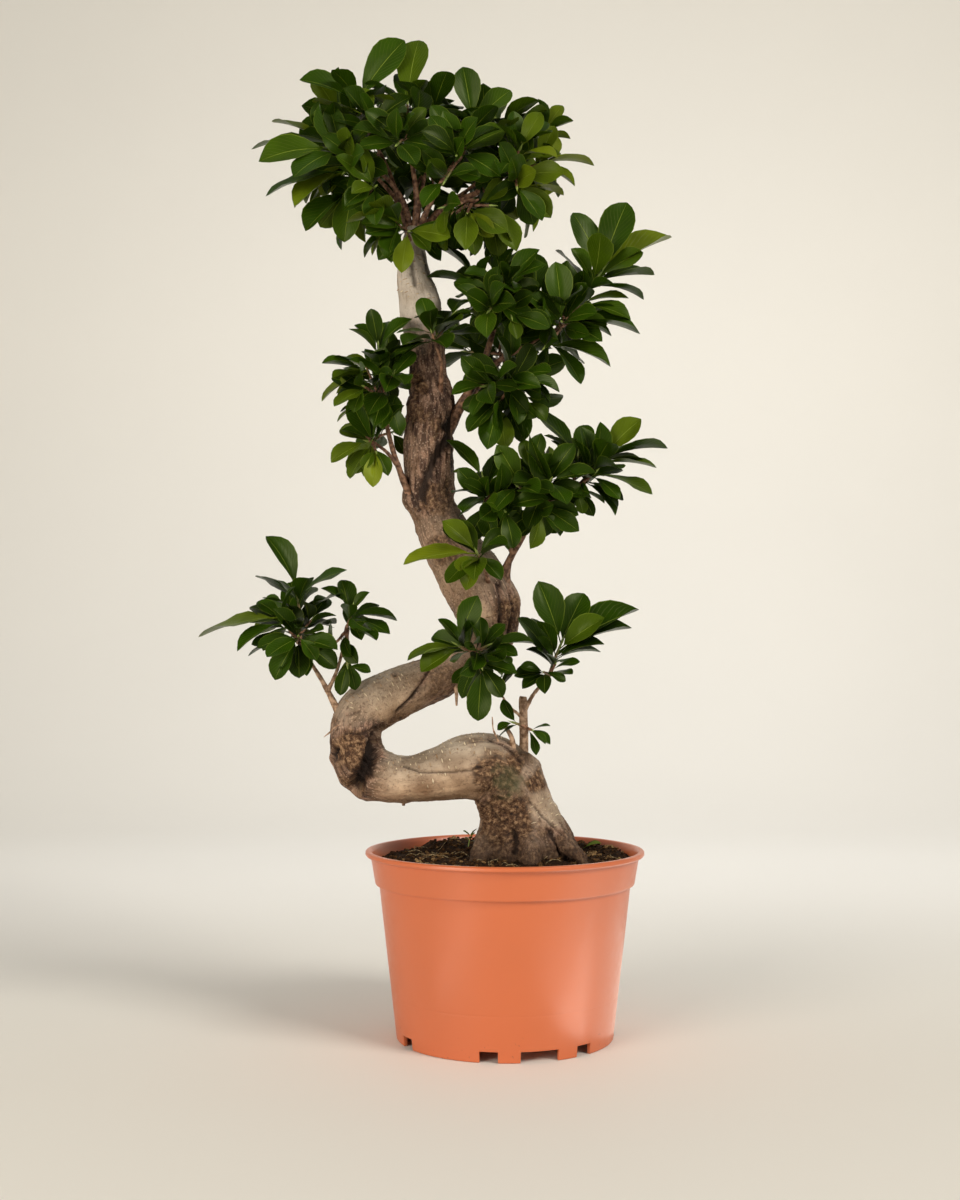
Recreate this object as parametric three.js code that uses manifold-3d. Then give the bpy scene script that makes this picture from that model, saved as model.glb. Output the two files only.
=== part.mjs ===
// A ginseng ficus: an S-shaped bonsai trunk with tiers of leafy sprays, rooted in soil in an orange plastic
// pot. Millimetres, +Z up. The origin is the middle of the pot's foot, and the front faces -Y.
import * as THREE from "three";
import { mergeVertices } from "three/addons/utils/BufferGeometryUtils.js";
import Module from "manifold-3d";

const wasm = await Module();
wasm.setup();

const DEGREE = Math.PI / 180;
const GAP = 0.3; // clear space between pieces that touch on the real plant

// Pot: a round moulded tub with a stepped band, a beaded rim and a notched foot.
const POT = {
  height: 178,
  sides: 30,
  wall: 2.2,
  footRadius: 104.5,
  footWidth: 3.2,
  shoulderRadius: 121.7,
  shoulderHeight: 146,
  bandRadiusLow: 125.5,
  bandRadiusHigh: 130,
  stepRise: 1,
  innerStepRise: 3,
  beadRadius: 135,
  beadHeight: 5,
  beadRise: 0.8,
  mouthFlare: 1,
  floorRise: 11,
  padRadius: 66,
  padFlare: 4,
  padInset: 1,
};
const NOTCH = { height: 10, width: 17, wideWidth: 36, depth: 9, count: 7, first: -9, wide: [16.7, 171] };
const DRAIN = { radius: 5.5, ring: 85, count: 4, sides: 6 };

// Soil: filled to a little below the rim, mounded round the trunk, heaped behind it on both sides, bumpy all
// over, and clear of the flats of the pot's wall.
const SOIL = {
  top: 168,
  mound: { height: 5, reach: 52 },
  heaps: [{ at: [95, 70], height: 7, reach: 34 }, { at: [-48, 98], height: 7, reach: 42 }],
  bumps: { height: 2, small: 0.6, acrossWave: 11, backWave: 13, smallWave: 7, start: 1 },
  rings: [1, 0.8, 0.58, 0.34, 0],
  brim: 2.5,
  padClear: 2,
  clear: 1.1,
  sides: 20,
};

// The eye that the places below were read from. A place is [across, up, depth]: millimetres right of the pot's
// axis and above the floor on an upright picture at that axis, then how far behind the axis the thing lies.
const EYE = { across: -24, up: 350, distance: 1421, tilt: 2.84 * DEGREE };

// The trunk from its buried end to its top: places with the trunk's radius there.
const TRUNK = [
  [23, 97, 4, 34], [24, 146, 2, 42], [21, 180, 0, 43], [14, 211, -2, 36], [3, 238, -6, 34],
  [-14, 256, -10, 33], [-37, 257, -14, 32], [-63, 251, -17, 26], [-91, 246, -19, 22],
  [-116, 247, -18, 24], [-139, 259, -16, 27], [-146, 282, -12, 26], [-142, 305, -6, 25],
  [-125, 319, 0, 26], [-101, 331, 6, 25], [-77, 341, 10, 23], [-53, 353, 12, 21],
  [-30, 369, 12, 22], [-15, 391, 10, 27], [-19, 417, 8, 33], [-36, 448, 8, 32],
  [-56, 479, 6, 26], [-70, 511, 4, 23], [-74, 542, 2, 25], [-74, 577, 0, 25],
  [-72, 612, 0, 24], [-75, 640, 0, 18], [-77, 671, 0, 18], [-83, 707, 0, 21],
  [-89, 740, 0, 17], [-89, 766, 0, 12], [-88, 785, 0, 9],
];
const TRUNK_SIDES = 10;
const TRUNK_STEPS = 45;
const FLUTES = [{ depth: 0.05, count: 2, twist: 14 }, { depth: 0.045, count: 3, twist: -23 }];
const INNER_BEND = 0.85; // how near to a bend's middle the wood's inner side may come

// Roots that flare from the trunk's foot and dive into the soil: places with radii.
const ROOTS = {
  right: [[35, 210, -8, 20], [54, 187, -22, 11], [72, 171, -32, 7], [84, 154, -38, 3]],
  left: [[0, 203, -8, 22], [-17, 179, -20, 13], [-30, 158, -26, 6]],
  front: [[23, 197, -18, 18], [25, 176, -42, 12], [29, 154, -56, 5]],
  backRight: [[40, 200, 14, 18], [60, 180, 36, 11], [74, 158, 52, 5]],
  backLeft: [[3, 197, 16, 18], [-12, 178, 38, 11], [-24, 156, 54, 5]],
};

// Short bare outgrowths of the trunk: places with radii.
const STUBS = {
  aerialRoot: [[-48, 340, 4, 2.5], [-47, 327, 4, 1.7], [-47, 317, 4, 0.8]],
  tallCutStub: [[17, 252, -6, 6], [19, 290, -9, 4.5], [18, 323, -11, 4.1]],
  shortCutStub: [[7, 258, -14, 4], [8, 282, -24, 2.5], [2, 295, -26, 2]],
  lowerNub: [[-98, 239, -18, 4], [-99, 219, -18, 1.5]],
};

// The woody limbs, each with the shoots that grow from its end. wood holds places with thicknesses. A shoot
// has its tip's place, its aim [right, up, away], a count of further leaves by rule, their usual length, and
// the leaves seen from the front: the place of each leaf's tip, and how squarely its face looks forward, from
// 0 to 1.
const LIMBS = {
  crown_left: {
    wood: [[-91, 777, 0, 7], [-99, 810, -8, 5], [-112, 830, -14, 4.2], [-132, 847, -20, 3.2]],
    shoots: [
      { tip: [-167, 862, -34], aim: [-1, 0.15, -0.3], more: 0, size: 50,
        seen: [[-241, 850, -48, 0.9], [-207, 835, -62, 0.8], [-172, 904, -38, 0.9]] },
      { tip: [-183, 873, 0], aim: [-1, 0.3, 0.1], more: 0, size: 46,
        seen: [[-248, 862, -6, 0.5], [-228, 889, 6, 0.4], [-188, 904, 8, 0.3]] },
      { tip: [-156, 840, -46], aim: [-0.8, -0.5, -0.3], more: 0, size: 48,
        seen: [[-234, 816, -52, 0.5], [-206, 806, -66, 0.6]] },
      { tip: [-149, 822, -30], aim: [-0.4, -0.9, -0.2], more: 0, size: 50,
        seen: [[-195, 782, -36, 0.7], [-157, 771, -44, 0.85]] },
    ],
  },
  crown_left_up: {
    wood: [[-90, 781, -2, 6], [-104, 815, 2, 4.6], [-116, 847, 4, 3.8], [-130, 873, 4, 3]],
    shoots: [
      { tip: [-144, 911, -2], aim: [-0.1, 1, 0], more: 0, size: 52,
        seen: [[-98, 969, -16, 0.95], [-201, 930, -18, 0.8]] },
      { tip: [-128, 887, -44], aim: [-0.2, 0.5, -0.9], more: 3, size: 46, seen: [] },
      { tip: [-165, 895, 34], aim: [-0.6, 0.6, 0.4], more: 3, size: 48, seen: [] },
    ],
  },
  crown_mid: {
    wood: [[-88, 777, -2, 8], [-86, 813, -8, 5.4], [-90, 844, -12, 4.2], [-94, 869, -14, 3]],
    shoots: [
      { tip: [-95, 907, -16], aim: [0, 1, 0], more: 0, size: 50,
        seen: [[-84, 969, -8, 0.35], [-101, 936, 2, 0.4]] },
      { tip: [-106, 866, -62], aim: [-0.3, 0.3, -1], more: 3, size: 42, seen: [] },
      { tip: [-69, 901, -14], aim: [0.4, 0.9, -0.2], more: 3, size: 48, seen: [] },
    ],
  },
  crown_right_up: {
    wood: [[-85, 781, -2, 6], [-69, 817, -14, 4.6], [-56, 840, -20, 3.6], [-46, 854, -24, 3]],
    shoots: [
      { tip: [-30, 887, -22], aim: [0.1, 1, 0], more: 0, size: 50,
        seen: [[-41, 943, -26, 0.95], [6, 920, -14, 0.75]] },
      { tip: [-47, 856, -66], aim: [0.1, 0.4, -1], more: 0, size: 46,
        seen: [[-73, 895, -64, 0.9], [-4, 882, -66, 0.6]] },
      { tip: [-59, 830, -58], aim: [-0.2, -0.3, -1], more: 2, size: 38, seen: [] },
    ],
  },
  crown_right: {
    wood: [[-83, 777, 2, 9], [-64, 800, 2, 7.6], [-41, 813, 0, 6], [-17, 824, -2, 4.4], [1, 836, -4, 3]],
    shoots: [
      { tip: [15, 862, -34], aim: [0.5, 0.6, -0.5], more: 1, size: 48, seen: [[36, 898, -38, 0.9]] },
      { tip: [35, 848, -8], aim: [1, 0.1, 0], more: 0, size: 46,
        seen: [[49, 885, -10, 0.8], [88, 846, -2, 0.35], [69, 826, -14, 0.5]] },
      { tip: [12, 825, -34], aim: [0.6, -0.7, -0.3], more: 0, size: 48,
        seen: [[37, 792, -38, 0.9], [58, 817, -16, 0.5]] },
      { tip: [40, 879, 20], aim: [0.6, 0.8, 0.2], more: 1, size: 38, seen: [[57, 905, 20, 0.8]] },
      { tip: [-7, 889, -4], aim: [0.5, 0.9, 0], more: 1, size: 50, seen: [[36, 893, 4, 0.35]] },
    ],
  },
  crown_low_right: {
    wood: [[-86, 777, -1, 5], [-57, 795, -18, 4], [-38, 806, -26, 3]],
    shoots: [
      { tip: [-14, 807, -34], aim: [0.5, -0.8, -0.2], more: 0, size: 46,
        seen: [[12, 762, -38, 0.85], [-6, 757, -26, 0.6]] },
      { tip: [-37, 799, -44], aim: [0, -1, -0.3], more: 0, size: 44,
        seen: [[-29, 758, -46, 0.9], [-38, 763, -58, 0.3]] },
      { tip: [-61, 805, -50], aim: [-0.4, -0.8, -0.5], more: 1, size: 40, seen: [[-62, 768, -50, 0.8]] },
    ],
  },
  crown_front: {
    wood: [[-92, 771, -6, 4.4], [-95, 779, -24, 3.4], [-97, 782, -34, 2.8]],
    shoots: [
      { tip: [-94, 782, -50], aim: [0.2, -0.3, -1], more: 0, size: 44,
        seen: [[-101, 741, -56, 0.9], [-73, 762, -54, 0.9]] },
      { tip: [-114, 799, -44], aim: [-0.7, 0, -0.7], more: 0, size: 46,
        seen: [[-111, 751, -46, 0.8], [-130, 778, -38, 0.7]] },
    ],
  },
  crown_low_left: {
    wood: [[-94, 779, -2, 5], [-109, 806, -8, 3.8], [-130, 814, -12, 2.8]],
    shoots: [
      { tip: [-146, 809, -4], aim: [-1, -0.4, 0], more: 2, size: 46, seen: [] },
      { tip: [-126, 826, -56], aim: [-0.3, 0, -1], more: 2, size: 42, seen: [] },
    ],
  },
  crown_back_left: {
    wood: [[-92, 779, 6, 6], [-105, 811, 34, 4.6], [-126, 836, 58, 3.4]],
    shoots: [
      { tip: [-159, 860, 88], aim: [-0.7, 0.6, 0.6], more: 3, size: 50, seen: [] },
      { tip: [-149, 817, 84], aim: [-0.7, -0.4, 0.6], more: 3, size: 48, seen: [] },
      { tip: [-114, 879, 74], aim: [-0.1, 1, 0.3], more: 3, size: 48, seen: [] },
      { tip: [-185, 842, 52], aim: [-1, -0.1, 0.2], more: 3, size: 48, seen: [] },
    ],
  },
  crown_back: {
    wood: [[-88, 779, 8, 6], [-82, 817, 40, 4.6], [-76, 848, 64, 3.4]],
    shoots: [
      { tip: [-79, 895, 66], aim: [0, 1, 0.3], more: 3, size: 50, seen: [] },
      { tip: [-57, 866, 102], aim: [0.4, 0.4, 0.9], more: 3, size: 48, seen: [] },
      { tip: [-98, 844, 108], aim: [-0.3, 0, 1], more: 3, size: 46, seen: [] },
    ],
  },
  crown_back_right: {
    wood: [[-83, 779, 6, 6], [-55, 807, 36, 4.6], [-26, 830, 56, 3.4]],
    shoots: [
      { tip: [15, 860, 66], aim: [0.8, 0.5, 0.5], more: 3, size: 50, seen: [] },
      { tip: [-20, 881, 74], aim: [0.2, 0.9, 0.5], more: 3, size: 48, seen: [] },
      { tip: [-24, 809, 92], aim: [0.3, -0.4, 0.9], more: 2, size: 46, seen: [] },
      { tip: [19, 817, 44], aim: [0.8, -0.6, 0.3], more: 2, size: 46, seen: [] },
    ],
  },
  tier_two_up: {
    wood: [[-57, 587, 0, 12], [-41, 614, -4, 9], [-25, 642, -8, 7], [-14, 673, -12, 5.4], [-6, 705, -14, 3.8]],
    shoots: [
      { tip: [4, 732, -44], aim: [0.2, 0.8, -0.5], more: 1, size: 46, seen: [[41, 749, -48, 0.8]] },
      { tip: [-26, 730, -26], aim: [-0.8, 0.6, -0.1], more: 0, size: 46,
        seen: [[-75, 769, -12, 0.15], [-76, 737, -18, 0.2]] },
      { tip: [-6, 742, 12], aim: [0, 1, 0.2], more: 2, size: 44, seen: [] },
      { tip: [-16, 703, -62], aim: [-0.4, 0.2, -1], more: 2, size: 42, seen: [] },
      { tip: [7, 697, -56], aim: [0.5, 0, -0.9], more: 1, size: 38, seen: [[12, 676, -62, 0.4]] },
    ],
  },
  tier_two_right: {
    wood: [[-24, 640, -8, 5.6], [-1, 658, -12, 4.8], [25, 670, -16, 4], [49, 685, -18, 3.2]],
    shoots: [
      { tip: [97, 744, -20], aim: [0.5, 0.9, 0], more: 0, size: 52,
        seen: [[67, 800, -24, 0.8], [120, 810, -20, 0.8], [164, 776, -14, 0.6], [136, 761, -34, 0.8],
          [147, 739, -10, 0.4], [65, 765, -36, 0.8]] },
      { tip: [76, 712, -14], aim: [0.8, 0.5, 0.1], more: 0, size: 46,
        seen: [[122, 716, -8, 0.5], [124, 695, -24, 0.7]] },
      { tip: [56, 693, -34], aim: [0.6, 0.4, -0.4], more: 0, size: 48,
        seen: [[50, 752, -40, 0.9], [133, 681, -30, 0.5], [105, 679, -48, 0.4]] },
      { tip: [41, 670, -28], aim: [0.8, -0.3, -0.2], more: 0, size: 44,
        seen: [[104, 649, -28, 0.6], [75, 632, -34, 0.5]] },
      { tip: [30, 715, -26], aim: [0.1, 0.8, -0.5], more: 2, size: 48, seen: [] },
      { tip: [64, 715, 30], aim: [0.5, 0.6, 0.6], more: 2, size: 46, seen: [] },
    ],
  },
  tier_two_low: {
    wood: [[-42, 611, -6, 5], [-22, 624, -22, 4], [-4, 631, -28, 3]],
    shoots: [
      { tip: [17, 640, -40], aim: [0.8, 0.2, -0.4], more: 0, size: 46,
        seen: [[54, 624, -34, 0.7], [46, 644, -44, 0.8]] },
      { tip: [-20, 630, -56], aim: [-0.1, 0.1, -1], more: 0, size: 42,
        seen: [[14, 628, -62, 0.85], [-52, 622, -58, 0.8]] },
      { tip: [21, 615, -22], aim: [0.7, -0.7, 0], more: 0, size: 48,
        seen: [[41, 596, -22, 0.8], [16, 575, -30, 0.8]] },
      { tip: [-7, 611, -40], aim: [0, -1, -0.2], more: 0, size: 46,
        seen: [[1, 569, -42, 0.8], [-17, 568, -44, 0.8], [-36, 585, -46, 0.7]] },
    ],
  },
  tier_two_back: {
    wood: [[-53, 599, 10, 8], [-28, 626, 36, 5], [-6, 652, 56, 3.6]],
    shoots: [
      { tip: [29, 677, 80], aim: [0.6, 0.6, 0.5], more: 3, size: 48, seen: [] },
      { tip: [-4, 693, 92], aim: [0, 0.7, 0.7], more: 3, size: 48, seen: [] },
      { tip: [19, 632, 78], aim: [0.7, -0.4, 0.6], more: 3, size: 46, seen: [] },
      { tip: [-38, 664, 96], aim: [-0.6, 0.2, 0.8], more: 3, size: 46, seen: [] },
    ],
  },
  tier_two_front: {
    wood: [[-63, 622, -14, 4], [-62, 652, -28, 3.2], [-67, 670, -36, 2.6]],
    shoots: [
      { tip: [-71, 683, -44], aim: [-0.5, 0.8, -0.4], more: 1, size: 46, seen: [[-106, 682, -50, 0.4]] },
      { tip: [-51, 699, -44], aim: [0.3, 0.9, -0.3], more: 0, size: 46,
        seen: [[-42, 715, -8, 0.3], [-89, 697, -50, 0.4]] },
    ],
  },
  tier_two_left: {
    wood: [[-89, 515, -4, 8], [-103, 548, -12, 5.6], [-112, 577, -16, 4.6], [-118, 605, -20, 3.8]],
    shoots: [
      { tip: [-124, 671, -30], aim: [0, 1, 0], more: 0, size: 44,
        seen: [[-131, 706, -30, 0.7], [-90, 696, -34, 0.6], [-147, 690, -24, 0.4]] },
      { tip: [-136, 650, -40], aim: [-0.8, 0.3, -0.4], more: 0, size: 44,
        seen: [[-168, 658, -34, 0.25], [-179, 615, -40, 0.4]] },
      { tip: [-109, 642, -56], aim: [0.4, 0.2, -0.9], more: 1, size: 42, seen: [[-93, 632, -60, 0.6]] },
      { tip: [-138, 630, -54], aim: [-0.5, -0.4, -0.7], more: 1, size: 42, seen: [[-148, 604, -58, 0.8]] },
      { tip: [-118, 644, 4], aim: [0.2, 0.5, 0.9], more: 2, size: 42, seen: [] },
    ],
  },
  tier_two_left_low: {
    wood: [[-105, 553, -14, 4], [-116, 566, -18, 3.2], [-124, 572, -20, 2.6]],
    shoots: [
      { tip: [-134, 576, -30], aim: [-1, 0, -0.2], more: 0, size: 44,
        seen: [[-170, 555, -34, 0.8], [-160, 587, -28, 0.6]] },
      { tip: [-126, 566, -38], aim: [-0.1, -1, -0.3], more: 0, size: 36,
        seen: [[-139, 549, -42, 0.8], [-129, 531, -44, 0.8], [-114, 542, -38, 0.7]] },
      { tip: [-110, 585, 16], aim: [0.3, -0.4, 0.8], more: 1, size: 42, seen: [[-98, 563, 12, 0.8]] },
    ],
  },
  tier_three_main: {
    wood: [[-1, 434, -2, 11], [4, 458, -6, 6.8], [18, 482, -12, 5], [29, 510, -16, 3.8]],
    shoots: [
      { tip: [27, 548, -34], aim: [0, 1, 0], more: 0, size: 36,
        seen: [[36, 584, -36, 0.8], [18, 578, -34, 0.8]] },
      { tip: [45, 538, -56], aim: [0.4, 0.2, -0.9], more: 2, size: 44, seen: [] },
      { tip: [13, 532, -56], aim: [-0.3, 0.2, -0.9], more: 2, size: 44, seen: [] },
      { tip: [35, 505, -44], aim: [0.5, -0.7, -0.5], more: 1, size: 44, seen: [[55, 487, -40, 0.7]] },
      { tip: [43, 538, 30], aim: [0.3, 0.3, 0.9], more: 3, size: 44, seen: [] },
      { tip: [11, 519, 34], aim: [-0.4, 0.2, 0.9], more: 2, size: 42, seen: [] },
    ],
  },
  tier_three_right: {
    wood: [[24, 499, -14, 4.4], [47, 519, -18, 3.8], [66, 529, -20, 3]],
    shoots: [
      { tip: [72, 562, -28], aim: [0.1, 1, 0], more: 0, size: 40,
        seen: [[22, 607, -22, 0.3], [97, 583, -30, 0.6], [82, 592, -20, 0.5]] },
      { tip: [96, 560, -26], aim: [0.8, 0.5, 0], more: 0, size: 46,
        seen: [[134, 598, -32, 0.9], [160, 569, -22, 0.1], [149, 550, -32, 0.2]] },
      { tip: [88, 545, -34], aim: [1, -0.1, -0.1], more: 0, size: 48,
        seen: [[145, 524, -34, 0.4], [113, 519, -42, 0.6]] },
      { tip: [71, 524, -32], aim: [0.6, -0.8, 0], more: 0, size: 32,
        seen: [[77, 505, -32, 0.6], [58, 508, -36, 0.7], [98, 515, -26, 0.15]] },
    ],
  },
  tier_three_left: {
    wood: [[8, 466, -10, 4], [-5, 492, -22, 3.4], [-15, 514, -28, 2.8]],
    shoots: [
      { tip: [-21, 540, -34], aim: [-0.3, 1, 0], more: 0, size: 44,
        seen: [[-57, 577, -24, 0.35], [-51, 546, -28, 0.25], [3, 562, -38, 0.8]] },
      { tip: [-20, 517, -36], aim: [-1, 0.1, -0.2], more: 1, size: 38, seen: [[-41, 516, -36, 0.5]] },
      { tip: [1, 507, -60], aim: [0.2, -0.1, -1], more: 2, size: 42, seen: [] },
    ],
  },
  tier_three_front: {
    wood: [[-14, 430, -14, 4.6], [-19, 450, -36, 3.4], [-23, 459, -46, 2.8]],
    shoots: [
      { tip: [-27, 467, -56], aim: [-0.3, 0.3, -0.9], more: 0, size: 46,
        seen: [[-61, 498, -60, 0.9], [-99, 455, -64, 0.5], [-57, 437, -68, 0.85], [-38, 430, -66, 0.8],
          [3, 489, -58, 0.8], [-3, 440, -60, 0.8]] },
    ],
  },
  low_front: {
    wood: [[-28, 366, -4, 5.4], [-29, 364, -34, 3.8], [-30, 367, -44, 2.8]],
    shoots: [
      { tip: [-47, 377, -56], aim: [-0.7, 0.4, -0.5], more: 0, size: 40,
        seen: [[-26, 425, -62, 0.8], [-95, 361, -66, 0.35], [-82, 350, -70, 0.7], [-65, 402, -54, 0.4]] },
      { tip: [-16, 376, -56], aim: [0.6, 0.4, -0.6], more: 0, size: 40,
        seen: [[29, 378, -56, 0.5], [13, 366, -62, 0.7], [1, 397, -52, 0.6], [-24, 404, -52, 0.8]] },
      { tip: [-22, 354, -60], aim: [0.1, -0.8, -0.6], more: 0, size: 40,
        seen: [[-26, 302, -64, 0.9], [-2, 325, -68, 0.8], [12, 348, -64, 0.8], [-42, 324, -56, 0.6]] },
    ],
  },
  low_right: {
    wood: [[19, 311, -10, 4], [29, 329, -14, 3.4], [38, 339, -16, 2.8]],
    shoots: [
      { tip: [56, 379, -22], aim: [0.2, 1, 0], more: 0, size: 50,
        seen: [[33, 439, -28, 0.9], [78, 427, -14, 0.8], [98, 403, -34, 0.85], [132, 411, -10, 0.5],
          [125, 393, -20, 0.4], [98, 377, -30, 0.5], [13, 403, -26, 0.6]] },
      { tip: [50, 358, -30], aim: [0.4, 0.7, -0.3], more: 0, size: 30,
        seen: [[31, 384, -26, 0.4], [21, 372, -22, 0.3], [74, 360, -28, 0.5]] },
      { tip: [38, 350, -42], aim: [-0.2, 0.3, -0.9], more: 0, size: 30,
        seen: [[60, 341, -40, 0.7], [15, 355, -44, 0.8]] },
    ],
  },
  low_right_twig: {
    wood: [[17, 306, -11, 3], [5, 316, -18, 2.2], [-2, 326, -22, 1.8]],
    shoots: [{ tip: [-7, 334, -26], aim: [-0.5, 0.8, -0.2], more: 1, size: 26, seen: [] }],
  },
  low_right_stub: {
    wood: [[20, 287, -10, 4], [22, 292, -20, 3], [22, 294, -26, 2.4]],
    shoots: [
      { tip: [27, 293, -34], aim: [0.7, 0.1, -0.7], more: 0, size: 26,
        seen: [[45, 297, -36, 0.2], [40, 279, -38, 0.5]] },
      { tip: [7, 301, -34], aim: [-0.8, 0.2, -0.5], more: 1, size: 26, seen: [[-7, 293, -36, 0.7]] },
    ],
  },
  low_left: {
    wood: [[-158, 301, -10, 8], [-170, 325, -14, 5.4], [-179, 342, -16, 4.4], [-189, 358, -18, 3.4],
      [-196, 369, -20, 2.8]],
    shoots: [
      { tip: [-203, 428, -24], aim: [0, 1, 0], more: 0, size: 46,
        seen: [[-234, 483, -24, 0.35], [-154, 450, -20, 0.35], [-226, 440, -26, 0.2]] },
      { tip: [-220, 405, -36], aim: [-0.9, 0.2, -0.3], more: 0, size: 44,
        seen: [[-300, 384, -36, 0.3], [-242, 419, -30, 0.7], [-262, 370, -44, 0.4]] },
      { tip: [-202, 385, -50], aim: [-0.2, -0.1, -1], more: 0, size: 40,
        seen: [[-184, 361, -54, 0.8], [-225, 342, -46, 0.85], [-242, 374, -56, 0.8]] },
      { tip: [-189, 401, -16], aim: [0.5, 0.5, 0], more: 2, size: 38, seen: [] },
      { tip: [-210, 401, 30], aim: [-0.3, 0.3, 0.9], more: 3, size: 42, seen: [] },
    ],
  },
  low_left_inner: {
    wood: [[-174, 330, -15, 4], [-165, 349, -18, 3.2], [-159, 370, -20, 2.8], [-156, 383, -20, 2.4]],
    shoots: [
      { tip: [-149, 413, -28], aim: [0.1, 1, 0], more: 0, size: 38,
        seen: [[-180, 432, -22, 0.4], [-132, 428, -30, 0.6], [-105, 400, -24, 0.4], [-112, 387, -30, 0.5],
          [-140, 381, -36, 0.7]] },
      { tip: [-167, 377, -32], aim: [-0.6, 0.2, -0.5], more: 2, size: 30, seen: [] },
      { tip: [-154, 354, -30], aim: [0.6, -0.6, -0.3], more: 0, size: 32,
        seen: [[-131, 350, -30, 0.7], [-161, 327, -34, 0.8], [-146, 332, -24, 0.7]] },
    ],
  },
};
const LIMB_SIDES = 4;
const ROOT_SIDES = 6;
const STUB_STEPS = 2;

// Leafy shoots and their blades.
const TWIG = { sides: 3, radius: 2.1, bud: 12, leafy: 0.6 };
const SPUR = { radius: 3, spacing: 4, first: 0.7, beyond: 1.5 };
const LEAF = { thick: 0.8, halfWidth: 0.235, arch: 0.07, pitch: 3.2 };
const CLEARING = { part: 0.1, crossing: 0.2, fine: 0.05 };
const SEEN_LEAST = 0.8; // a seen leaf's least size beside its shoot's usual one
const FURTHER = { tilt: 34, lowerTilt: 50, whorl: 6, tiltVary: 14, least: 0.86, vary: 0.28 };
const TURN = 137.5 * DEGREE; // from each leaf on a shoot to the next one
const LIGHT = new THREE.Vector3(0, -0.3, 1).normalize(); // blades turn their faces to it
const ASKEW = new THREE.Vector3(0.31, 0.77, 0.2); // a direction that no shoot takes
const DEPTH_TRIES = [0, -7, 7, -14, 14, 21, -21];
const TURN_TRIES = [0, 40, -40, 80, -80, 120, -120].map((turn) => turn * DEGREE);

// A blade of unit length and half width: points round its edge from the stalk, and its faces.
const BLADE_EDGE = [[0, 0], [0.42, 0.88], [0.73, 0.94], [1, 0], [0.73, -0.94], [0.42, -0.88]];
const BLADE_FACES = [[0, 5, 1], [5, 4, 1], [4, 2, 1], [4, 3, 2]];

// Colours and finishes.
const FINISH = {
  pot: { color: "#de7f58", roughness: 0.4, metalness: 0 },
  soil: { color: "#2f231b", roughness: 1, metalness: 0 },
  bark: { color: "#a3917b", roughness: 0.8, metalness: 0 },
  leaf: { color: "#2c5a28", roughness: 0.4, metalness: 0 },
};

// Fixed draws for what varies from leaf to leaf: the last one, and how the next one follows from it.
const DRAWS = { last: 41, factor: 16807, count: 2147483647 };

// The next draw, from 0 to 1.
function chance() {
  DRAWS.last = (DRAWS.last * DRAWS.factor) % DRAWS.count;
  return DRAWS.last / DRAWS.count;
}

// A place read from the front, taken along the line of sight to its depth.
function inSpace([across, up, depth]) {
  const right = (across - EYE.across) / EYE.distance;
  const rise = (up - EYE.up) / EYE.distance - Math.tan(EYE.tilt);
  const reach = (EYE.distance + depth) / (Math.cos(EYE.tilt) - rise * Math.sin(EYE.tilt));
  const lift = Math.sin(EYE.tilt) + rise * Math.cos(EYE.tilt);
  return new THREE.Vector3(EYE.across + reach * right, depth, EYE.up + reach * lift);
}

// A closed geometry as a solid that can be joined and cut.
function solidOf(geometry) {
  const bare = new THREE.BufferGeometry();
  bare.setAttribute("position", geometry.attributes.position);
  bare.setIndex(geometry.index);
  const merged = mergeVertices(bare, 1e-4);
  return new wasm.Manifold(
    new wasm.Mesh({
      numProp: 3,
      vertProperties: new Float32Array(merged.attributes.position.array),
      triVerts: new Uint32Array(merged.index.array),
    }),
  );
}

// The largest body of a solid, without the scraps that a cut leaves.
function mainBody(solid) {
  return solid.decompose().reduce((a, b) => (a.volume() > b.volume() ? a : b));
}

// A named mesh of a solid.
function pieceOf(name, solid, finish) {
  const { vertProperties, triVerts, numProp } = solid.getMesh();
  const geometry = new THREE.BufferGeometry();
  const places = Array.from({ length: vertProperties.length / numProp }, (_, i) =>
    Array.from(vertProperties.subarray(i * numProp, i * numProp + 3)),
  );
  geometry.setAttribute("position", new THREE.Float32BufferAttribute(places.flat(), 3));
  geometry.setIndex(new THREE.BufferAttribute(triVerts, 1));
  geometry.computeVertexNormals();
  const piece = new THREE.Mesh(geometry, new THREE.MeshStandardMaterial(finish));
  piece.name = name;
  return piece;
}

// A closed turned solid round the Z axis from [radius, height] pairs, the outside upwards.
function turned(profile, sides) {
  const points = profile.map(([radius, height]) => new THREE.Vector2(radius, height));
  return new THREE.LatheGeometry(points, sides).rotateX(Math.PI / 2);
}

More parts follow.
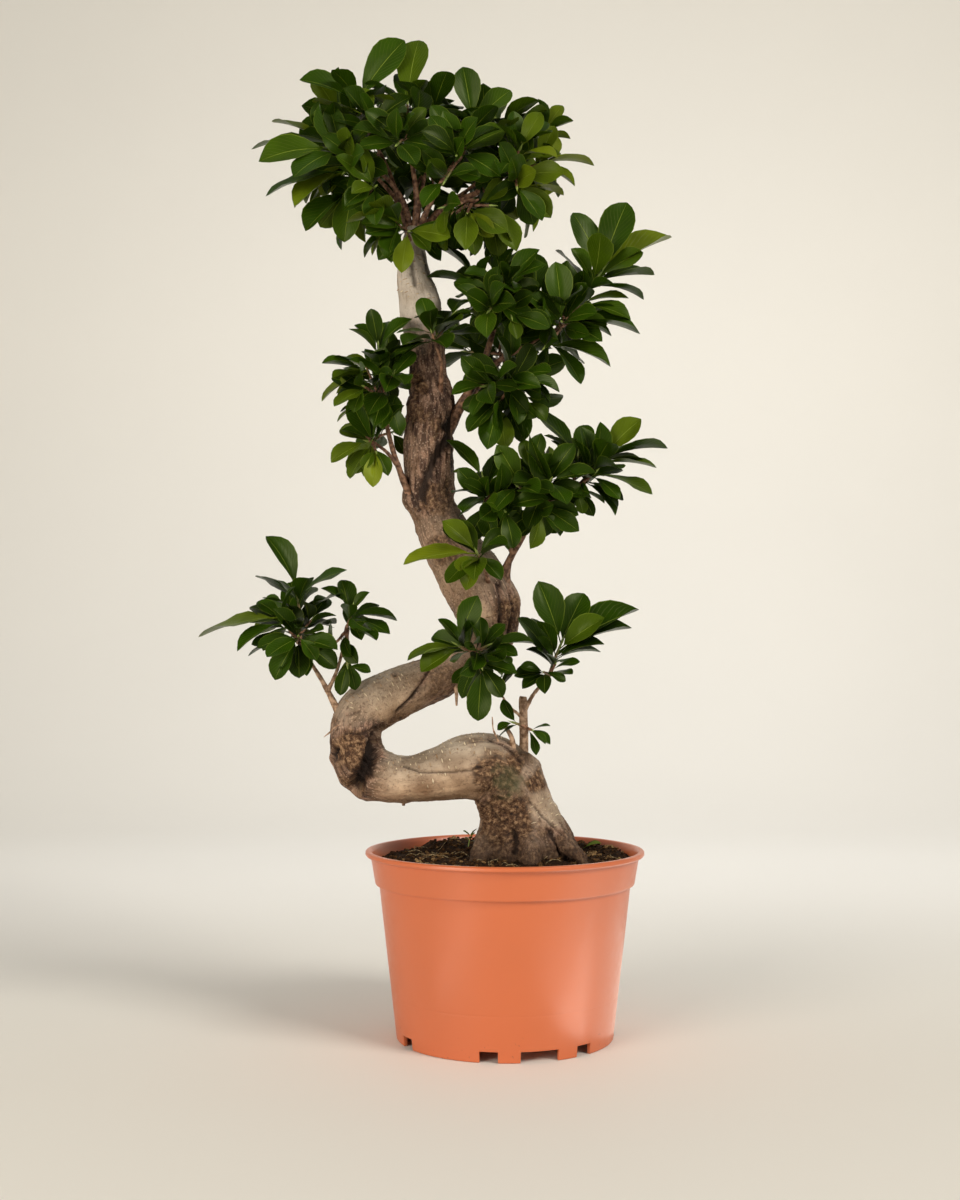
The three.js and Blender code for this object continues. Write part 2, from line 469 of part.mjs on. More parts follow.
// A rod bent along its places, as thick as their radii say. It is grown on all sides by grow, and where it
// turns sharply its inner side stays short of the turn's middle.
function bentRod(places, sides, steps, grow = 0, shape = () => 1) {
  const points = places.map(inSpace);
  const last = points.length - 1;
  points[0].addScaledVector(points[1].clone().sub(points[0]).normalize(), -grow);
  points[last].addScaledVector(points[last - 1].clone().sub(points[last]).normalize(), -grow);
  const curve = new THREE.CatmullRomCurve3(points, false, "centripetal");
  const { tangents, normals, binormals } = curve.computeFrenetFrames(steps);
  const stride = (2 * curve.getLength()) / steps;
  const rod = new THREE.CylinderGeometry(1, 1, 1, sides, steps);
  const corners = rod.attributes.position;
  for (let i = 0; i < corners.count; i++) {
    const step = Math.round((corners.getY(i) + 0.5) * steps);
    const along = curve.getUtoTmapping(step / steps);
    const turn = new THREE.Vector3()
      .copy(tangents[Math.min(step + 1, steps)])
      .sub(tangents[Math.max(step - 1, 0)])
      .divideScalar(stride);
    const out = new THREE.Vector3()
      .addScaledVector(binormals[step], corners.getX(i))
      .addScaledVector(normals[step], corners.getZ(i));
    const low = Math.min(Math.floor(along * last), last - 1);
    const radius = THREE.MathUtils.lerp(places[low][3], places[low + 1][3], along * last - low);
    const angle = Math.atan2(corners.getZ(i), corners.getX(i));
    const inward = Math.max(out.dot(turn), 1e-6);
    const reach = Math.min(radius * shape(angle, along), INNER_BEND / inward) + grow;
    const place = curve.getPoint(along).addScaledVector(out, reach);
    corners.setXYZ(i, place.x, place.y, place.z);
  }
  return solidOf(rod);
}

// The flutes and swellings of the trunk's section.
function fluting(angle, along) {
  const swelling = ({ depth, count, twist }) => depth * Math.cos(count * angle + twist * along);
  return FLUTES.reduce((part, flute) => part + swelling(flute), 1);
}

// Every woody part that blades and twigs have to clear, grown by grow.
function woodyParts(grow) {
  const halved = ([across, up, depth, thick]) => [across, up, depth, thick / 2];
  return [
    bentRod(TRUNK, TRUNK_SIDES, TRUNK_STEPS, grow, fluting),
    ...Object.values(ROOTS).map((places) => bentRod(places, ROOT_SIDES, places.length - 1, grow)),
    ...Object.values(STUBS).map((places) => bentRod(places, LIMB_SIDES, STUB_STEPS, grow)),
    ...Object.values(LIMBS).map(({ wood }) => bentRod(wood.map(halved), LIMB_SIDES, wood.length - 1, grow)),
  ];
}

function potSolid() {
  const inner = (radius) => radius - POT.wall;
  const rimLow = POT.height - POT.beadHeight;
  const flare = (POT.shoulderRadius - POT.footRadius) / POT.shoulderHeight;
  const floorTop = POT.floorRise + POT.wall;
  const shell = turned(
    [
      [0, 0],
      [POT.padRadius, 0],
      [POT.padRadius + POT.padFlare, POT.floorRise],
      [POT.footRadius - POT.footWidth, POT.floorRise],
      [POT.footRadius - POT.footWidth, 0],
      [POT.footRadius, 0],
      [POT.shoulderRadius, POT.shoulderHeight],
      [POT.bandRadiusLow, POT.shoulderHeight + POT.stepRise],
      [POT.bandRadiusHigh, rimLow],
      [POT.beadRadius, rimLow + POT.beadRise],
      [POT.beadRadius, POT.height],
      [inner(POT.bandRadiusHigh + POT.mouthFlare), POT.height],
      [inner(POT.bandRadiusLow), POT.shoulderHeight + POT.innerStepRise],
      [inner(POT.shoulderRadius), POT.shoulderHeight],
      [inner(POT.footRadius + flare * floorTop), floorTop],
      [POT.padRadius + POT.padFlare - POT.padInset, floorTop],
      [POT.padRadius - POT.padInset, POT.wall],
      [0, POT.wall],
    ],
    POT.sides,
  );
  return [...notchSolids(), ...drainSolids()].reduce((pot, cut) => pot.subtract(cut), solidOf(shell));
}

// The cuts through the pot's foot, azimuths counted from the front towards the right.
function notchSolids() {
  const cut = (azimuth, width) => {
    const box = new THREE.BoxGeometry(width, NOTCH.depth, NOTCH.height + 1);
    box.translate(0, -POT.footRadius + POT.footWidth / 2, (NOTCH.height - 1) / 2);
    return solidOf(box.rotateZ(azimuth * DEGREE));
  };
  const narrow = Array.from({ length: NOTCH.count }, (_, i) => NOTCH.first + (i * 360) / NOTCH.count);
  return [
    ...narrow.map((azimuth) => cut(azimuth, NOTCH.width)),
    ...NOTCH.wide.map((azimuth) => cut(azimuth, NOTCH.wideWidth)),
  ];
}

function drainSolids() {
  return Array.from({ length: DRAIN.count }, (_, i) => {
    const hole = new THREE.CylinderGeometry(DRAIN.radius, DRAIN.radius, 4 * POT.wall, DRAIN.sides);
    hole.rotateX(Math.PI / 2).translate(0, DRAIN.ring, POT.floorRise + POT.wall / 2);
    return solidOf(hole.rotateZ((i * 2 * Math.PI) / DRAIN.count));
  });
}

// How high the soil stands at a place.
function soilHeight(x, y) {
  const mounds = [{ at: [TRUNK[2][0], TRUNK[2][2]], ...SOIL.mound }, ...SOIL.heaps];
  const { height, small, acrossWave, backWave, smallWave, start } = SOIL.bumps;
  const broad = Math.sin(x / acrossWave + start) * Math.cos(y / backWave);
  const level = SOIL.top + height * (broad + small * Math.sin((x + y) / smallWave));
  return mounds.reduce((sum, mound) => {
    const away = Math.hypot(x - mound.at[0], y - mound.at[1]) / mound.reach;
    return sum + mound.height * Math.exp(-away * away);
  }, level);
}

function soilSolid(grownWood) {
  const wall = POT.wall + SOIL.clear;
  const flare = (POT.shoulderRadius - POT.footRadius) / POT.shoulderHeight;
  const floorTop = POT.floorRise + POT.wall;
  const topRadius = POT.bandRadiusLow - wall + SOIL.brim;
  const heap = turned(
    [
      [0, POT.wall + GAP],
      [POT.padRadius - SOIL.padClear, POT.wall + GAP],
      [POT.padRadius + SOIL.padClear, floorTop + GAP],
      [POT.footRadius + flare * floorTop - wall, floorTop + GAP],
      [POT.shoulderRadius - wall, POT.shoulderHeight],
      ...SOIL.rings.map((part) => [topRadius * part, SOIL.top]),
    ],
    SOIL.sides,
  );
  const corners = heap.attributes.position;
  for (let i = 0; i < corners.count; i++) {
    if (Math.abs(corners.getZ(i) - SOIL.top) < 0.01) {
      corners.setZ(i, soilHeight(corners.getX(i), corners.getY(i)));
    }
  }
  return mainBody(grownWood.reduce((soil, wood) => soil.subtract(wood), solidOf(heap)));
}

// One blade from base to tip, its face turned as near to face as its length allows.
function bladeSolid({ base, tip, face, size }, grow = 0, from = 0) {
  const along = tip.clone().sub(base);
  const length = along.length() + grow;
  along.normalize();
  const up = face.clone().addScaledVector(along, -face.dot(along)).normalize();
  const across = up.clone().cross(along);
  const half = size * LEAF.halfWidth + grow;
  const thick = LEAF.thick / 2 + grow;
  const corner = ([part, side], lift) => {
    const x = from + (1 - from) * part;
    const height = 4 * LEAF.arch * x * (1 - x) * length + lift;
    return base.clone()
      .addScaledVector(along, x * length)
      .addScaledVector(across, side * half)
      .addScaledVector(up, height);
  };
  const corners = [thick, -thick].flatMap((lift) => BLADE_EDGE.map((place) => corner(place, lift)));
  const under = BLADE_EDGE.length;
  const rim = BLADE_EDGE.flatMap((_, i) => {
    const next = (i + 1) % BLADE_EDGE.length;
    return [[i, next, next + under], [i, next + under, i + under]];
  });
  const below = BLADE_FACES.map(([a, b, c]) => [a + under, c + under, b + under]);
  const geometry = new THREE.BufferGeometry().setFromPoints(corners);
  geometry.setIndex([...BLADE_FACES, ...below, ...rim].flat());
  return solidOf(geometry);
}

// A slender pyramid from start to end.
function spike(start, end, radius) {
  const along = end.clone().sub(start);
  const rod = new THREE.ConeGeometry(radius, along.length(), TWIG.sides);
  rod.translate(0, along.length() / 2, 0);
  rod.applyQuaternion(new THREE.Quaternion().setFromUnitVectors(THREE.Object3D.DEFAULT_UP, along.normalize()));
  return solidOf(rod.translate(start.x, start.y, start.z));
}

// The spur that a limb's shoots grow from: it goes on from the limb's end.
function spurOf({ wood, shoots }) {
  const [before, start] = wood.slice(-2).map(inSpace);
  const along = start.clone().sub(before).normalize();
  const length = SPUR.spacing * (shoots.length + SPUR.beyond);
  return { start, along, end: start.clone().addScaledVector(along, length) };
}

// A shoot worked out from its row: its start on the spur, its tip, its line, its aim with two sides square to
// it, and the spacing of its leaves.
function shootFrame(spur, row, i) {
  const start = spur.start.clone().addScaledVector(spur.along, SPUR.spacing * (i + SPUR.first));
  const tip = inSpace(row.tip);
  const line = tip.clone().sub(start);
  const [right, up, away] = row.aim;
  const aim = new THREE.Vector3(right, away, up).normalize();
  const side = ASKEW.clone().cross(aim).normalize();
  const pitch = Math.min(LEAF.pitch, (TWIG.leafy * line.length()) / (row.seen.length + row.more + 1));
  return { start, tip, line: line.normalize(), aim, side, other: aim.clone().cross(side), pitch, row };
}

// The places that each leaf seen from the front may take.
function seenLeaves({ tip, line, pitch, row }) {
  return row.seen.map(([across, up, depth, forward], i) => {
    const base = tip.clone().addScaledVector(line, -pitch * (i + 0.5));
    const face = new THREE.Vector3(0, -forward, Math.sqrt(1 - forward * forward));
    return DEPTH_TRIES.map((shift) => {
      const end = inSpace([across, up, depth + shift]);
      return { base, tip: end, face, size: Math.max(base.distanceTo(end), row.size * SEEN_LEAST) };
    });
  });
}

// The places that each further leaf may take, in a spiral down the shoot.
function furtherLeaves({ tip, line, aim, side, other, pitch, row }) {
  const start = chance() * 2 * Math.PI;
  return Array.from({ length: row.more }, (_, i) => {
    const [spread, stretch] = [chance(), chance()];
    const lower = Math.sqrt((i + 0.5) / FURTHER.whorl);
    const tilt = (FURTHER.tilt + FURTHER.lowerTilt * lower + FURTHER.tiltVary * spread) * DEGREE;
    const size = row.size * (FURTHER.least + FURTHER.vary * stretch);
    const base = tip.clone().addScaledVector(line, -pitch * (i + row.seen.length + 0.5));
    return TURN_TRIES.map((shift) => {
      const turn = start + i * TURN + shift;
      const out = side.clone().multiplyScalar(Math.cos(turn)).addScaledVector(other, Math.sin(turn));
      const along = aim.clone().multiplyScalar(Math.cos(tilt)).addScaledVector(out, Math.sin(tilt));
      const face = aim.clone().multiplyScalar(Math.sin(tilt)).addScaledVector(out, -Math.cos(tilt));
      const end = base.clone().addScaledVector(along, size);
      return { base, tip: end, face: face.add(LIGHT), size };
    });
  });
}

// What stands in the way of new blades and twigs: solids with their boxes and the spray that they belong to.
const taken = [];

function take(solid, owner) {
  taken.push({ solid, owner, box: solid.boundingBox() });
}

// The part of a solid that lies in things already there, of one owner or of all the others.
function inTheWay(solid, owner, own) {
  const { min, max } = solid.boundingBox();
  const near = taken.filter(
    ({ box, owner: theirs }) =>
      (theirs === owner) === own && [0, 1, 2].every((k) => box.min[k] < max[k] && min[k] < box.max[k]),
  );
  return near.reduce((sum, other) => sum + other.solid.intersect(solid).volume(), 0);
}

// The first of a leaf's places that is clear of the other sprays and crosses none of its own.
function clearPlace(places, owner) {
  const free = places.filter((leaf) => inTheWay(bladeSolid(leaf, GAP), owner, false) === 0);
  return free.find((leaf) => inTheWay(bladeSolid(leaf, 0, CLEARING.part), owner, true) < CLEARING.crossing);
}

// All sprays: their twigs first, then the leaves seen from the front, then the rest.
function spraySolids(grownWood) {
  grownWood.forEach((wood) => take(wood, "wood"));
  const sprays = Object.entries(LIMBS).map(([name, limb]) => {
    const spur = spurOf(limb);
    const shoots = limb.shoots.map((row, i) => shootFrame(spur, row, i));
    const twigs = shoots.map(({ start, tip, line }) => {
      return spike(start, tip.clone().addScaledVector(line, TWIG.bud), TWIG.radius);
    });
    return { name, shoots, solids: [spike(spur.start, spur.end, SPUR.radius), ...twigs] };
  });
  sprays.forEach(({ name, solids }) => solids.forEach((solid) => take(solid, name)));
  for (const leavesOf of [seenLeaves, furtherLeaves]) {
    for (const spray of sprays) {
      for (const places of spray.shoots.flatMap(leavesOf)) {
        const leaf = clearPlace(places, spray.name);
        if (leaf) {
          const blade = bladeSolid(leaf);
          take(blade, spray.name);
          spray.solids.push(blade);
        }
      }
    }
  }
  return sprays;
}

const grownWood = woodyParts(GAP);
const trunk = mainBody(woodyParts(0).reduce((a, b) => a.add(b)));
const plant = new THREE.Group();
plant.add(pieceOf("pot", potSolid(), FINISH.pot));
plant.add(pieceOf("soil", soilSolid(grownWood.slice(0, 1 + Object.keys(ROOTS).length)), FINISH.soil));
plant.add(pieceOf("trunk", trunk, FINISH.bark));
for (const { name, solids } of spraySolids(grownWood)) {
  const joined = solids.reduce((a, b) => a.add(b));
  const clear = grownWood.reduce((spray, wood) => spray.subtract(wood), joined);
  plant.add(pieceOf("spray_" + name, mainBody(clear.simplify(CLEARING.fine)), FINISH.leaf));
}

export default plant;
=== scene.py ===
import math
import random
from contextlib import contextmanager
from functools import partial

import bpy
import numpy as np
from bpy.props import FloatProperty, FloatVectorProperty, IntProperty, PointerProperty
from mathutils import Euler, Matrix, Vector, kdtree, noise


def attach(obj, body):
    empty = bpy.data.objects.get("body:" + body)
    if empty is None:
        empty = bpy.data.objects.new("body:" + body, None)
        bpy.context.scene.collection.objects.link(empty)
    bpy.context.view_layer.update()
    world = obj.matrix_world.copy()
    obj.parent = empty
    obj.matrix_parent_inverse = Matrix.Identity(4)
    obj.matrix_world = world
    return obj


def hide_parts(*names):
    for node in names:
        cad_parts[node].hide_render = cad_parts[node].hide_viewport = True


bl_info = {
    "name": "Ginseng Ficus in a Nursery Pot",
    "version": (1, 0, 0),
    "blender": (4, 5, 0),
    "location": "3D View > Sidebar > Ficus",
    "description": "Dresses an S-shaped ginseng ficus with its bark, leaves, soil and orange pot",
    "category": "Object",
}

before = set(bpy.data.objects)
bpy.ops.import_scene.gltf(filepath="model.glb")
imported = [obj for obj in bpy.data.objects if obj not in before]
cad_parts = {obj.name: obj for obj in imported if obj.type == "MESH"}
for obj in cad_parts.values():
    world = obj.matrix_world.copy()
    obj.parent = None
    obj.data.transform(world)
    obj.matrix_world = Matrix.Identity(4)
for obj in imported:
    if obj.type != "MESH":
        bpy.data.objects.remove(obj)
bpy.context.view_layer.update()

MM = 0.001
SPRAYS = sorted(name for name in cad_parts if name.startswith("spray_"))

# The eye that the places below were read from. A place is (across, up, depth): millimetres right of the pot's
# axis and above the floor on an upright picture at that axis, then how far behind the axis the thing lies.
EYE_ACROSS = -24
EYE_UP = 350
EYE_DISTANCE = 1421
EYE_TILT = math.radians(2.84)

# How many pieces a smooth line has between two places of the trunk, of a limb and of a stub.
STEM_STEPS = 8
LIMB_STEPS = 6
STUB_STEPS = 5

# The trunk from its buried end to its top: places with the trunk's radius there.
TRUNK = (
    (23, 97, 4, 34), (24, 146, 2, 42), (21, 180, 0, 43), (14, 211, -2, 36), (3, 238, -6, 34),
    (-14, 256, -10, 33), (-37, 257, -14, 32), (-63, 251, -17, 26), (-91, 246, -19, 22),
    (-116, 247, -18, 24), (-139, 259, -16, 27), (-146, 282, -12, 26), (-142, 305, -6, 25),
    (-125, 319, 0, 26), (-101, 331, 6, 25), (-77, 341, 10, 23), (-53, 353, 12, 21),
    (-30, 369, 12, 22), (-15, 391, 10, 27), (-19, 417, 8, 33), (-36, 448, 8, 32),
    (-56, 479, 6, 26), (-70, 511, 4, 23), (-74, 542, 2, 25), (-74, 577, 0, 25),
    (-72, 612, 0, 24), (-75, 640, 0, 18), (-77, 671, 0, 18), (-83, 707, 0, 21),
    (-89, 740, 0, 17), (-89, 766, 0, 12), (-88, 785, 0, 9),
)

# How brown and corky the trunk is at each of those places: 0 where it is smooth and pale. The high values up under
# # the second tier of leaves are partly painted shade.
BROWNNESS_AND_SHADE = (0.7, 0.7, 0.65, 0.5, 0.55, 0.4, 0.1, 0.1, 0.1, 0.25, 0.6, 0.7, 0.4, 0.3, 0.2, 0.5, 0.55, 0.5, 0.55,
             0.6, 0.35, 0.5, 0.6, 0.65, 0.75, 0.9, 0.9, 0.65, 0.1, 0, 0, 0)

# Roots that flare from the trunk's foot and dive into the soil: places with radii.
ROOTS = (
    ((35, 210, -8, 20), (54, 187, -22, 11), (72, 171, -32, 7), (84, 154, -38, 3)),
    ((0, 203, -8, 22), (-17, 179, -20, 13), (-30, 158, -26, 6)),
    ((23, 197, -18, 18), (25, 176, -42, 12), (29, 154, -56, 5)),
    ((40, 200, 14, 18), (60, 180, 36, 11), (74, 158, 52, 5)),
    ((3, 197, 16, 18), (-12, 178, 38, 11), (-24, 156, 54, 5)),
)

# Short bare outgrowths: an aerial root, two cut stubs, a nub, a tendril and a curled twig.
STUBS = (
    ((-48, 340, 4, 2.5), (-47, 327, 4, 1.7), (-47, 317, 4, 0.8)),
    ((17, 252, -6, 6), (19, 280, -8, 4.6), (18.5, 310, -10, 4.2), (18, 323, -11, 4.3), (18.3, 326, -11, 3.4)),
    ((7, 258, -14, 4), (8, 282, -24, 2.5), (2, 295, -26, 2), (1, 297, -26, 1.4)),
    ((-98, 239, -18, 4), (-99, 219, -18, 1.5)),
    ((-6, 282, -36, 1), (-11, 294, -40, 0.7), (-12, 306, -40, 0.5)),
    ((-158, 300, -24, 1), (-166, 296, -34, 0.8), (-171, 291, -36, 0.7), (-177, 286, -36, 0.5)),
)

# The limbs: places with thicknesses, and the tips of their leafy shoots with the usual length of a leaf. The
# hanging shoots close the tiers behind their limbs.
LIMBS = {
    "crown_left": {
        "wood": ((-91, 777, 0, 7), (-99, 810, -8, 5), (-112, 830, -14, 4.2), (-132, 847, -20, 3.2)),
        "tips": ((-167, 862, -34, 50), (-183, 873, 0, 46), (-156, 840, -46, 48), (-149, 822, -30, 50)),
    },
    "crown_left_up": {
        "wood": ((-90, 781, -2, 6), (-104, 815, 2, 4.6), (-116, 847, 4, 3.8), (-130, 873, 4, 3)),
        "tips": ((-144, 911, -2, 52), (-128, 887, -44, 46), (-165, 895, 34, 48)),
    },
    "crown_mid": {
        "wood": ((-88, 777, -2, 8), (-86, 813, -8, 5.4), (-90, 844, -12, 4.2), (-94, 869, -14, 3)),
        "tips": ((-95, 907, -16, 50), (-106, 866, -62, 42), (-69, 901, -14, 48)),
    },
    "crown_right_up": {
        "wood": ((-85, 781, -2, 6), (-69, 817, -14, 4.6), (-56, 840, -20, 3.6), (-46, 854, -24, 3)),
        "tips": ((-30, 887, -22, 50), (-47, 856, -66, 46), (-59, 830, -58, 38)),
    },
    "crown_right": {
        "wood": ((-83, 777, 2, 9), (-64, 800, 2, 7.6), (-41, 813, 0, 6), (-17, 824, -2, 4.4),
             (1, 836, -4, 3)),
        "tips": ((15, 862, -34, 48), (35, 848, -8, 46), (12, 825, -34, 48), (40, 879, 20, 38),
             (-7, 889, -4, 50)),
    },
    "crown_low_right": {
        "wood": ((-86, 777, -1, 5), (-57, 795, -18, 4), (-38, 806, -26, 3)),
        "tips": ((-14, 807, -34, 46), (-37, 799, -44, 44), (-61, 805, -50, 40)),
    },
    "crown_front": {
        "wood": ((-92, 771, -6, 4.4), (-95, 779, -24, 3.4), (-97, 782, -34, 2.8)),
        "tips": ((-94, 782, -50, 44), (-114, 799, -44, 46)),
    },
    "crown_low_left": {
        "wood": ((-94, 779, -2, 5), (-109, 806, -8, 3.8), (-130, 814, -12, 2.8)),
        "tips": ((-146, 809, -4, 46), (-126, 826, -56, 42)),
    },
    "crown_back_left": {
        "wood": ((-92, 779, 6, 6), (-105, 811, 34, 4.6), (-126, 836, 58, 3.4)),
        "tips": ((-159, 860, 88, 50), (-149, 817, 84, 48), (-114, 879, 74, 48), (-185, 842, 52, 48)),
    },
    "crown_back": {
        "wood": ((-88, 779, 8, 6), (-82, 817, 40, 4.6), (-76, 848, 64, 3.4)),
        "tips": ((-79, 895, 66, 50), (-57, 866, 102, 48), (-98, 844, 108, 46)),
        "hanging": ((-68, 812, 84, 46), (-92, 806, 92, 46)),
    },
    "crown_back_right": {
        "wood": ((-83, 779, 6, 6), (-55, 807, 36, 4.6), (-26, 830, 56, 3.4)),
        "tips": ((15, 860, 66, 50), (-20, 881, 74, 48), (-24, 809, 92, 46), (19, 817, 44, 46)),
        "hanging": ((-44, 800, 74, 44),),
    },
    "tier_two_up": {
        "wood": ((-57, 587, 0, 12), (-41, 614, -4, 9), (-25, 642, -8, 7), (-14, 673, -12, 5.4),
             (-6, 705, -14, 3.8)),
        "tips": ((4, 732, -44, 46), (-26, 730, -26, 46), (-6, 742, 12, 44), (-16, 703, -62, 42),
             (7, 697, -56, 38)),
    },
    "tier_two_right": {
        "wood": ((-24, 640, -8, 5.6), (-1, 658, -12, 4.8), (25, 670, -16, 4), (49, 685, -18, 3.2)),
        "tips": ((97, 744, -20, 52), (76, 712, -14, 46), (56, 693, -34, 48), (41, 670, -28, 44),
             (30, 715, -26, 48), (64, 715, 30, 46)),
    },
    "tier_two_low": {
        "wood": ((-42, 611, -6, 5), (-22, 624, -22, 4), (-4, 631, -28, 3)),
        "tips": ((17, 640, -40, 46), (-20, 630, -56, 42), (21, 615, -22, 48), (-7, 611, -40, 46)),
    },
    "tier_two_back": {
        "wood": ((-53, 599, 10, 8), (-28, 626, 36, 5), (-6, 652, 56, 3.6)),
        "tips": ((29, 677, 80, 48), (-4, 693, 92, 48), (19, 632, 78, 46), (-38, 664, 96, 46)),
        "hanging": ((-14, 640, 96, 44),),
    },
    "tier_two_front": {
        "wood": ((-63, 622, -14, 4), (-62, 652, -28, 3.2), (-67, 670, -36, 2.6)),
        "tips": ((-71, 683, -44, 46), (-51, 699, -44, 46)),
    },
    "tier_two_left": {
        "wood": ((-89, 515, -4, 8), (-103, 548, -12, 5.6), (-112, 577, -16, 4.6),
             (-118, 605, -20, 3.8)),
        "tips": ((-124, 671, -30, 44), (-136, 650, -40, 44), (-109, 642, -56, 42),
             (-138, 630, -54, 42), (-118, 644, 4, 42)),
    },
    "tier_two_left_low": {
        "wood": ((-105, 553, -14, 4), (-116, 566, -18, 3.2), (-124, 572, -20, 2.6)),
        "tips": ((-134, 576, -30, 44), (-126, 566, -38, 36), (-110, 585, 16, 42)),
    },
    "tier_three_main": {
        "wood": ((-1, 434, -2, 11), (4, 458, -6, 6.8), (18, 482, -12, 5), (29, 510, -16, 3.8)),
        "tips": ((27, 548, -34, 36), (45, 538, -56, 44), (13, 532, -56, 44), (35, 505, -44, 44),
             (43, 538, 30, 44), (11, 519, 34, 42)),
    },
    "tier_three_right": {
        "wood": ((24, 499, -14, 4.4), (47, 519, -18, 3.8), (66, 529, -20, 3)),
        "tips": ((72, 562, -28, 40), (96, 560, -26, 46), (88, 545, -34, 48), (71, 524, -32, 32)),
    },
    "tier_three_left": {
        "wood": ((8, 466, -10, 4), (-5, 492, -22, 3.4), (-15, 514, -28, 2.8)),
        "tips": ((-21, 540, -34, 44), (-20, 517, -36, 38), (1, 507, -60, 42)),
    },
    "tier_three_front": {
        "wood": ((-14, 430, -14, 4.6), (-19, 450, -36, 3.4), (-23, 459, -46, 2.8)),
        "tips": ((-27, 467, -56, 46),),
    },
    "low_front": {
        "wood": ((-28, 366, -4, 5.4), (-29, 364, -34, 3.8), (-30, 367, -44, 2.8)),
        "tips": ((-47, 377, -56, 40), (-16, 376, -56, 40), (-22, 354, -60, 40)),
    },
    "low_right": {
        "wood": ((19, 311, -10, 4), (29, 329, -14, 3.4), (38, 339, -16, 2.8)),
        "tips": ((56, 379, -22, 50), (50, 358, -30, 30), (38, 350, -42, 30)),
    },
    "low_right_twig": {
        "wood": ((17, 306, -11, 3), (5, 316, -18, 2.2), (-2, 326, -22, 1.8)),
        "tips": ((-7, 334, -26, 26),),
    },
    "low_right_stub": {
        "wood": ((20, 287, -10, 4), (22, 292, -20, 3), (22, 294, -26, 2.4)),
        "tips": ((27, 293, -34, 26), (7, 301, -34, 26)),
    },
    "low_left": {
        "wood": ((-158, 301, -10, 8), (-170, 325, -14, 5.4), (-179, 342, -16, 4.4),
             (-189, 358, -18, 3.4), (-196, 369, -20, 2.8)),
        "tips": ((-203, 428, -24, 46), (-220, 405, -36, 44), (-202, 385, -50, 40),
             (-189, 401, -16, 38), (-210, 401, 30, 42)),
    },
    "low_left_inner": {
        "wood": ((-174, 330, -15, 4), (-165, 349, -18, 3.2), (-159, 370, -20, 2.8),
             (-156, 383, -20, 2.4)),
        "tips": ((-149, 413, -28, 38), (-167, 377, -32, 30), (-154, 354, -30, 32)),
    },
}

# How each limb's shoots start: this far apart along a spur that goes on from the limb's end.
SHOOT_SPACING = 4

# The blades of the frame: their thickness, how far along and how wide they are at the rim's last two corners
# before the tip, and how far their arch lifts them there.
BLADE_THICK = 0.8
BLADE_ALONG = 0.73
BLADE_WIDE = 0.94
BLADE_ARCH = 0.07
BLADE_RISE = BLADE_ARCH * 4 * BLADE_ALONG * (1 - BLADE_ALONG)

# The dressed leaves: a blade's half width along its length, both as parts of the whole, then the stalk's length,
# half width and thickness in the model, the columns of faces across a blade, and each model's arch, fold, twist,
# wave and how pointed it is.
BLADE_SHAPE = ((0.0, 0.05), (0.12, 0.38), (0.28, 0.7), (0.46, 0.94), (0.62, 1.0), (0.76, 0.92), (0.87, 0.71),
               (0.95, 0.4), (1.0, 0.03))
STALK = 0.13
STALK_HALF = 0.045
STALK_THICK = 0.011
BLADE_COLUMNS = 4
LEAF_SHAPES = ((0.07, 0.07, 0.2, 0.018, 1), (0.085, 0.12, -0.3, 0.012, 1.3), (0.06, 0.05, 0.5, 0.024, 0.95),
               (0.1, 0.09, -0.1, 0.015, 1.5), (0.05, 0.14, -0.5, 0.01, 1.15), (0.075, 0.04, 0.1, 0.028, 1.35))

# The leaves that are added to those of the frame: the turn from one leaf of a shoot to the next, how many places
# are tried for each, the first one's distance from the tip and the steps from there, the tilt away from the
# shoot, the length as a part of the shoot's usual one, and the half width as a part of the length.
LEAF_TURN = 137.5
LEAF_TRIES = 14
FIRST_LEAF = 3
LEAF_STEP = 4.2
LEAF_TILT = (38, 62)
LEAF_LENGTH = (0.86, 1.14)
LEAF_HALF = (0.205, 0.26)

# A shoot with shorter leaves than this carries half as many. A leaf of the frame is a shoot's own where its foot
# lies this near the shoot, and further leaves keep clear of the leaves that lie this near the shoot's tip.
SHORT_LEAF = 34
OWN_REACH = 1.5
CROWD_REACH = 140

# The green of the leaves from 0, deep, to 1, with painted shade on the leaves inside a tier and painted light on
# # those at its outside: the green inside a tier, how much more at its outside, in the low tiers and in the
# others, and how much it varies.
SHADED_INNER_TONE = 0.22
LOW_LIGHT_RISE = 0.3
HIGH_LIGHT_RISE = 0.58
TONE_SPREAD = 0.12

# An end bud in millimetres: radius and height.
BUD = ((0.7, -1), (1.1, 0), (1.35, 1.6), (1.2, 3.4), (0.75, 6), (0.25, 8.6), (0.06, 9.6))

# Knobs and collars that stand out of the trunk: place, reach and height.
KNOBS = (
    ((-96, 519, -2), 13, 7.5), ((-84, 508, -6), 8, 2.5), ((-141, 228, -16), 9, 3), ((-156, 243, -14), 7, 2.5),
    ((-169, 266, -14), 6, 3), ((-128, 230, -18), 6, 2), ((32, 262, -6), 12, 4.5), ((-49, 528, 0), 5, 1.8),
    ((-47, 509, 0), 5, 1.6), ((-78, 420, 8), 6, 2.4), ((-68, 404, 8), 6, 2), ((14, 418, 2), 13, 3.5),
    ((-112, 571, 0), 5, 1.2), ((-70, 600, -20), 9, 2.5), ((4, 232, -34), 12, 2.5), ((-6, 196, -30), 9, 3),
    ((-60, 347, 26), 10, 3), ((-30, 251, 14), 12, 3), ((-68, 560, 22), 10, 3), ((-100, 640, 14), 8, 2),
    ((40, 226, 20), 12, 3), ((-150, 300, 12), 10, 3), ((-98, 227, -18), 6, 3), ((-84, 228, -18), 4, 1.6),
    ((-113, 226, -18), 4, 1.4), ((-135, 224, -16), 4, 1.8),
)
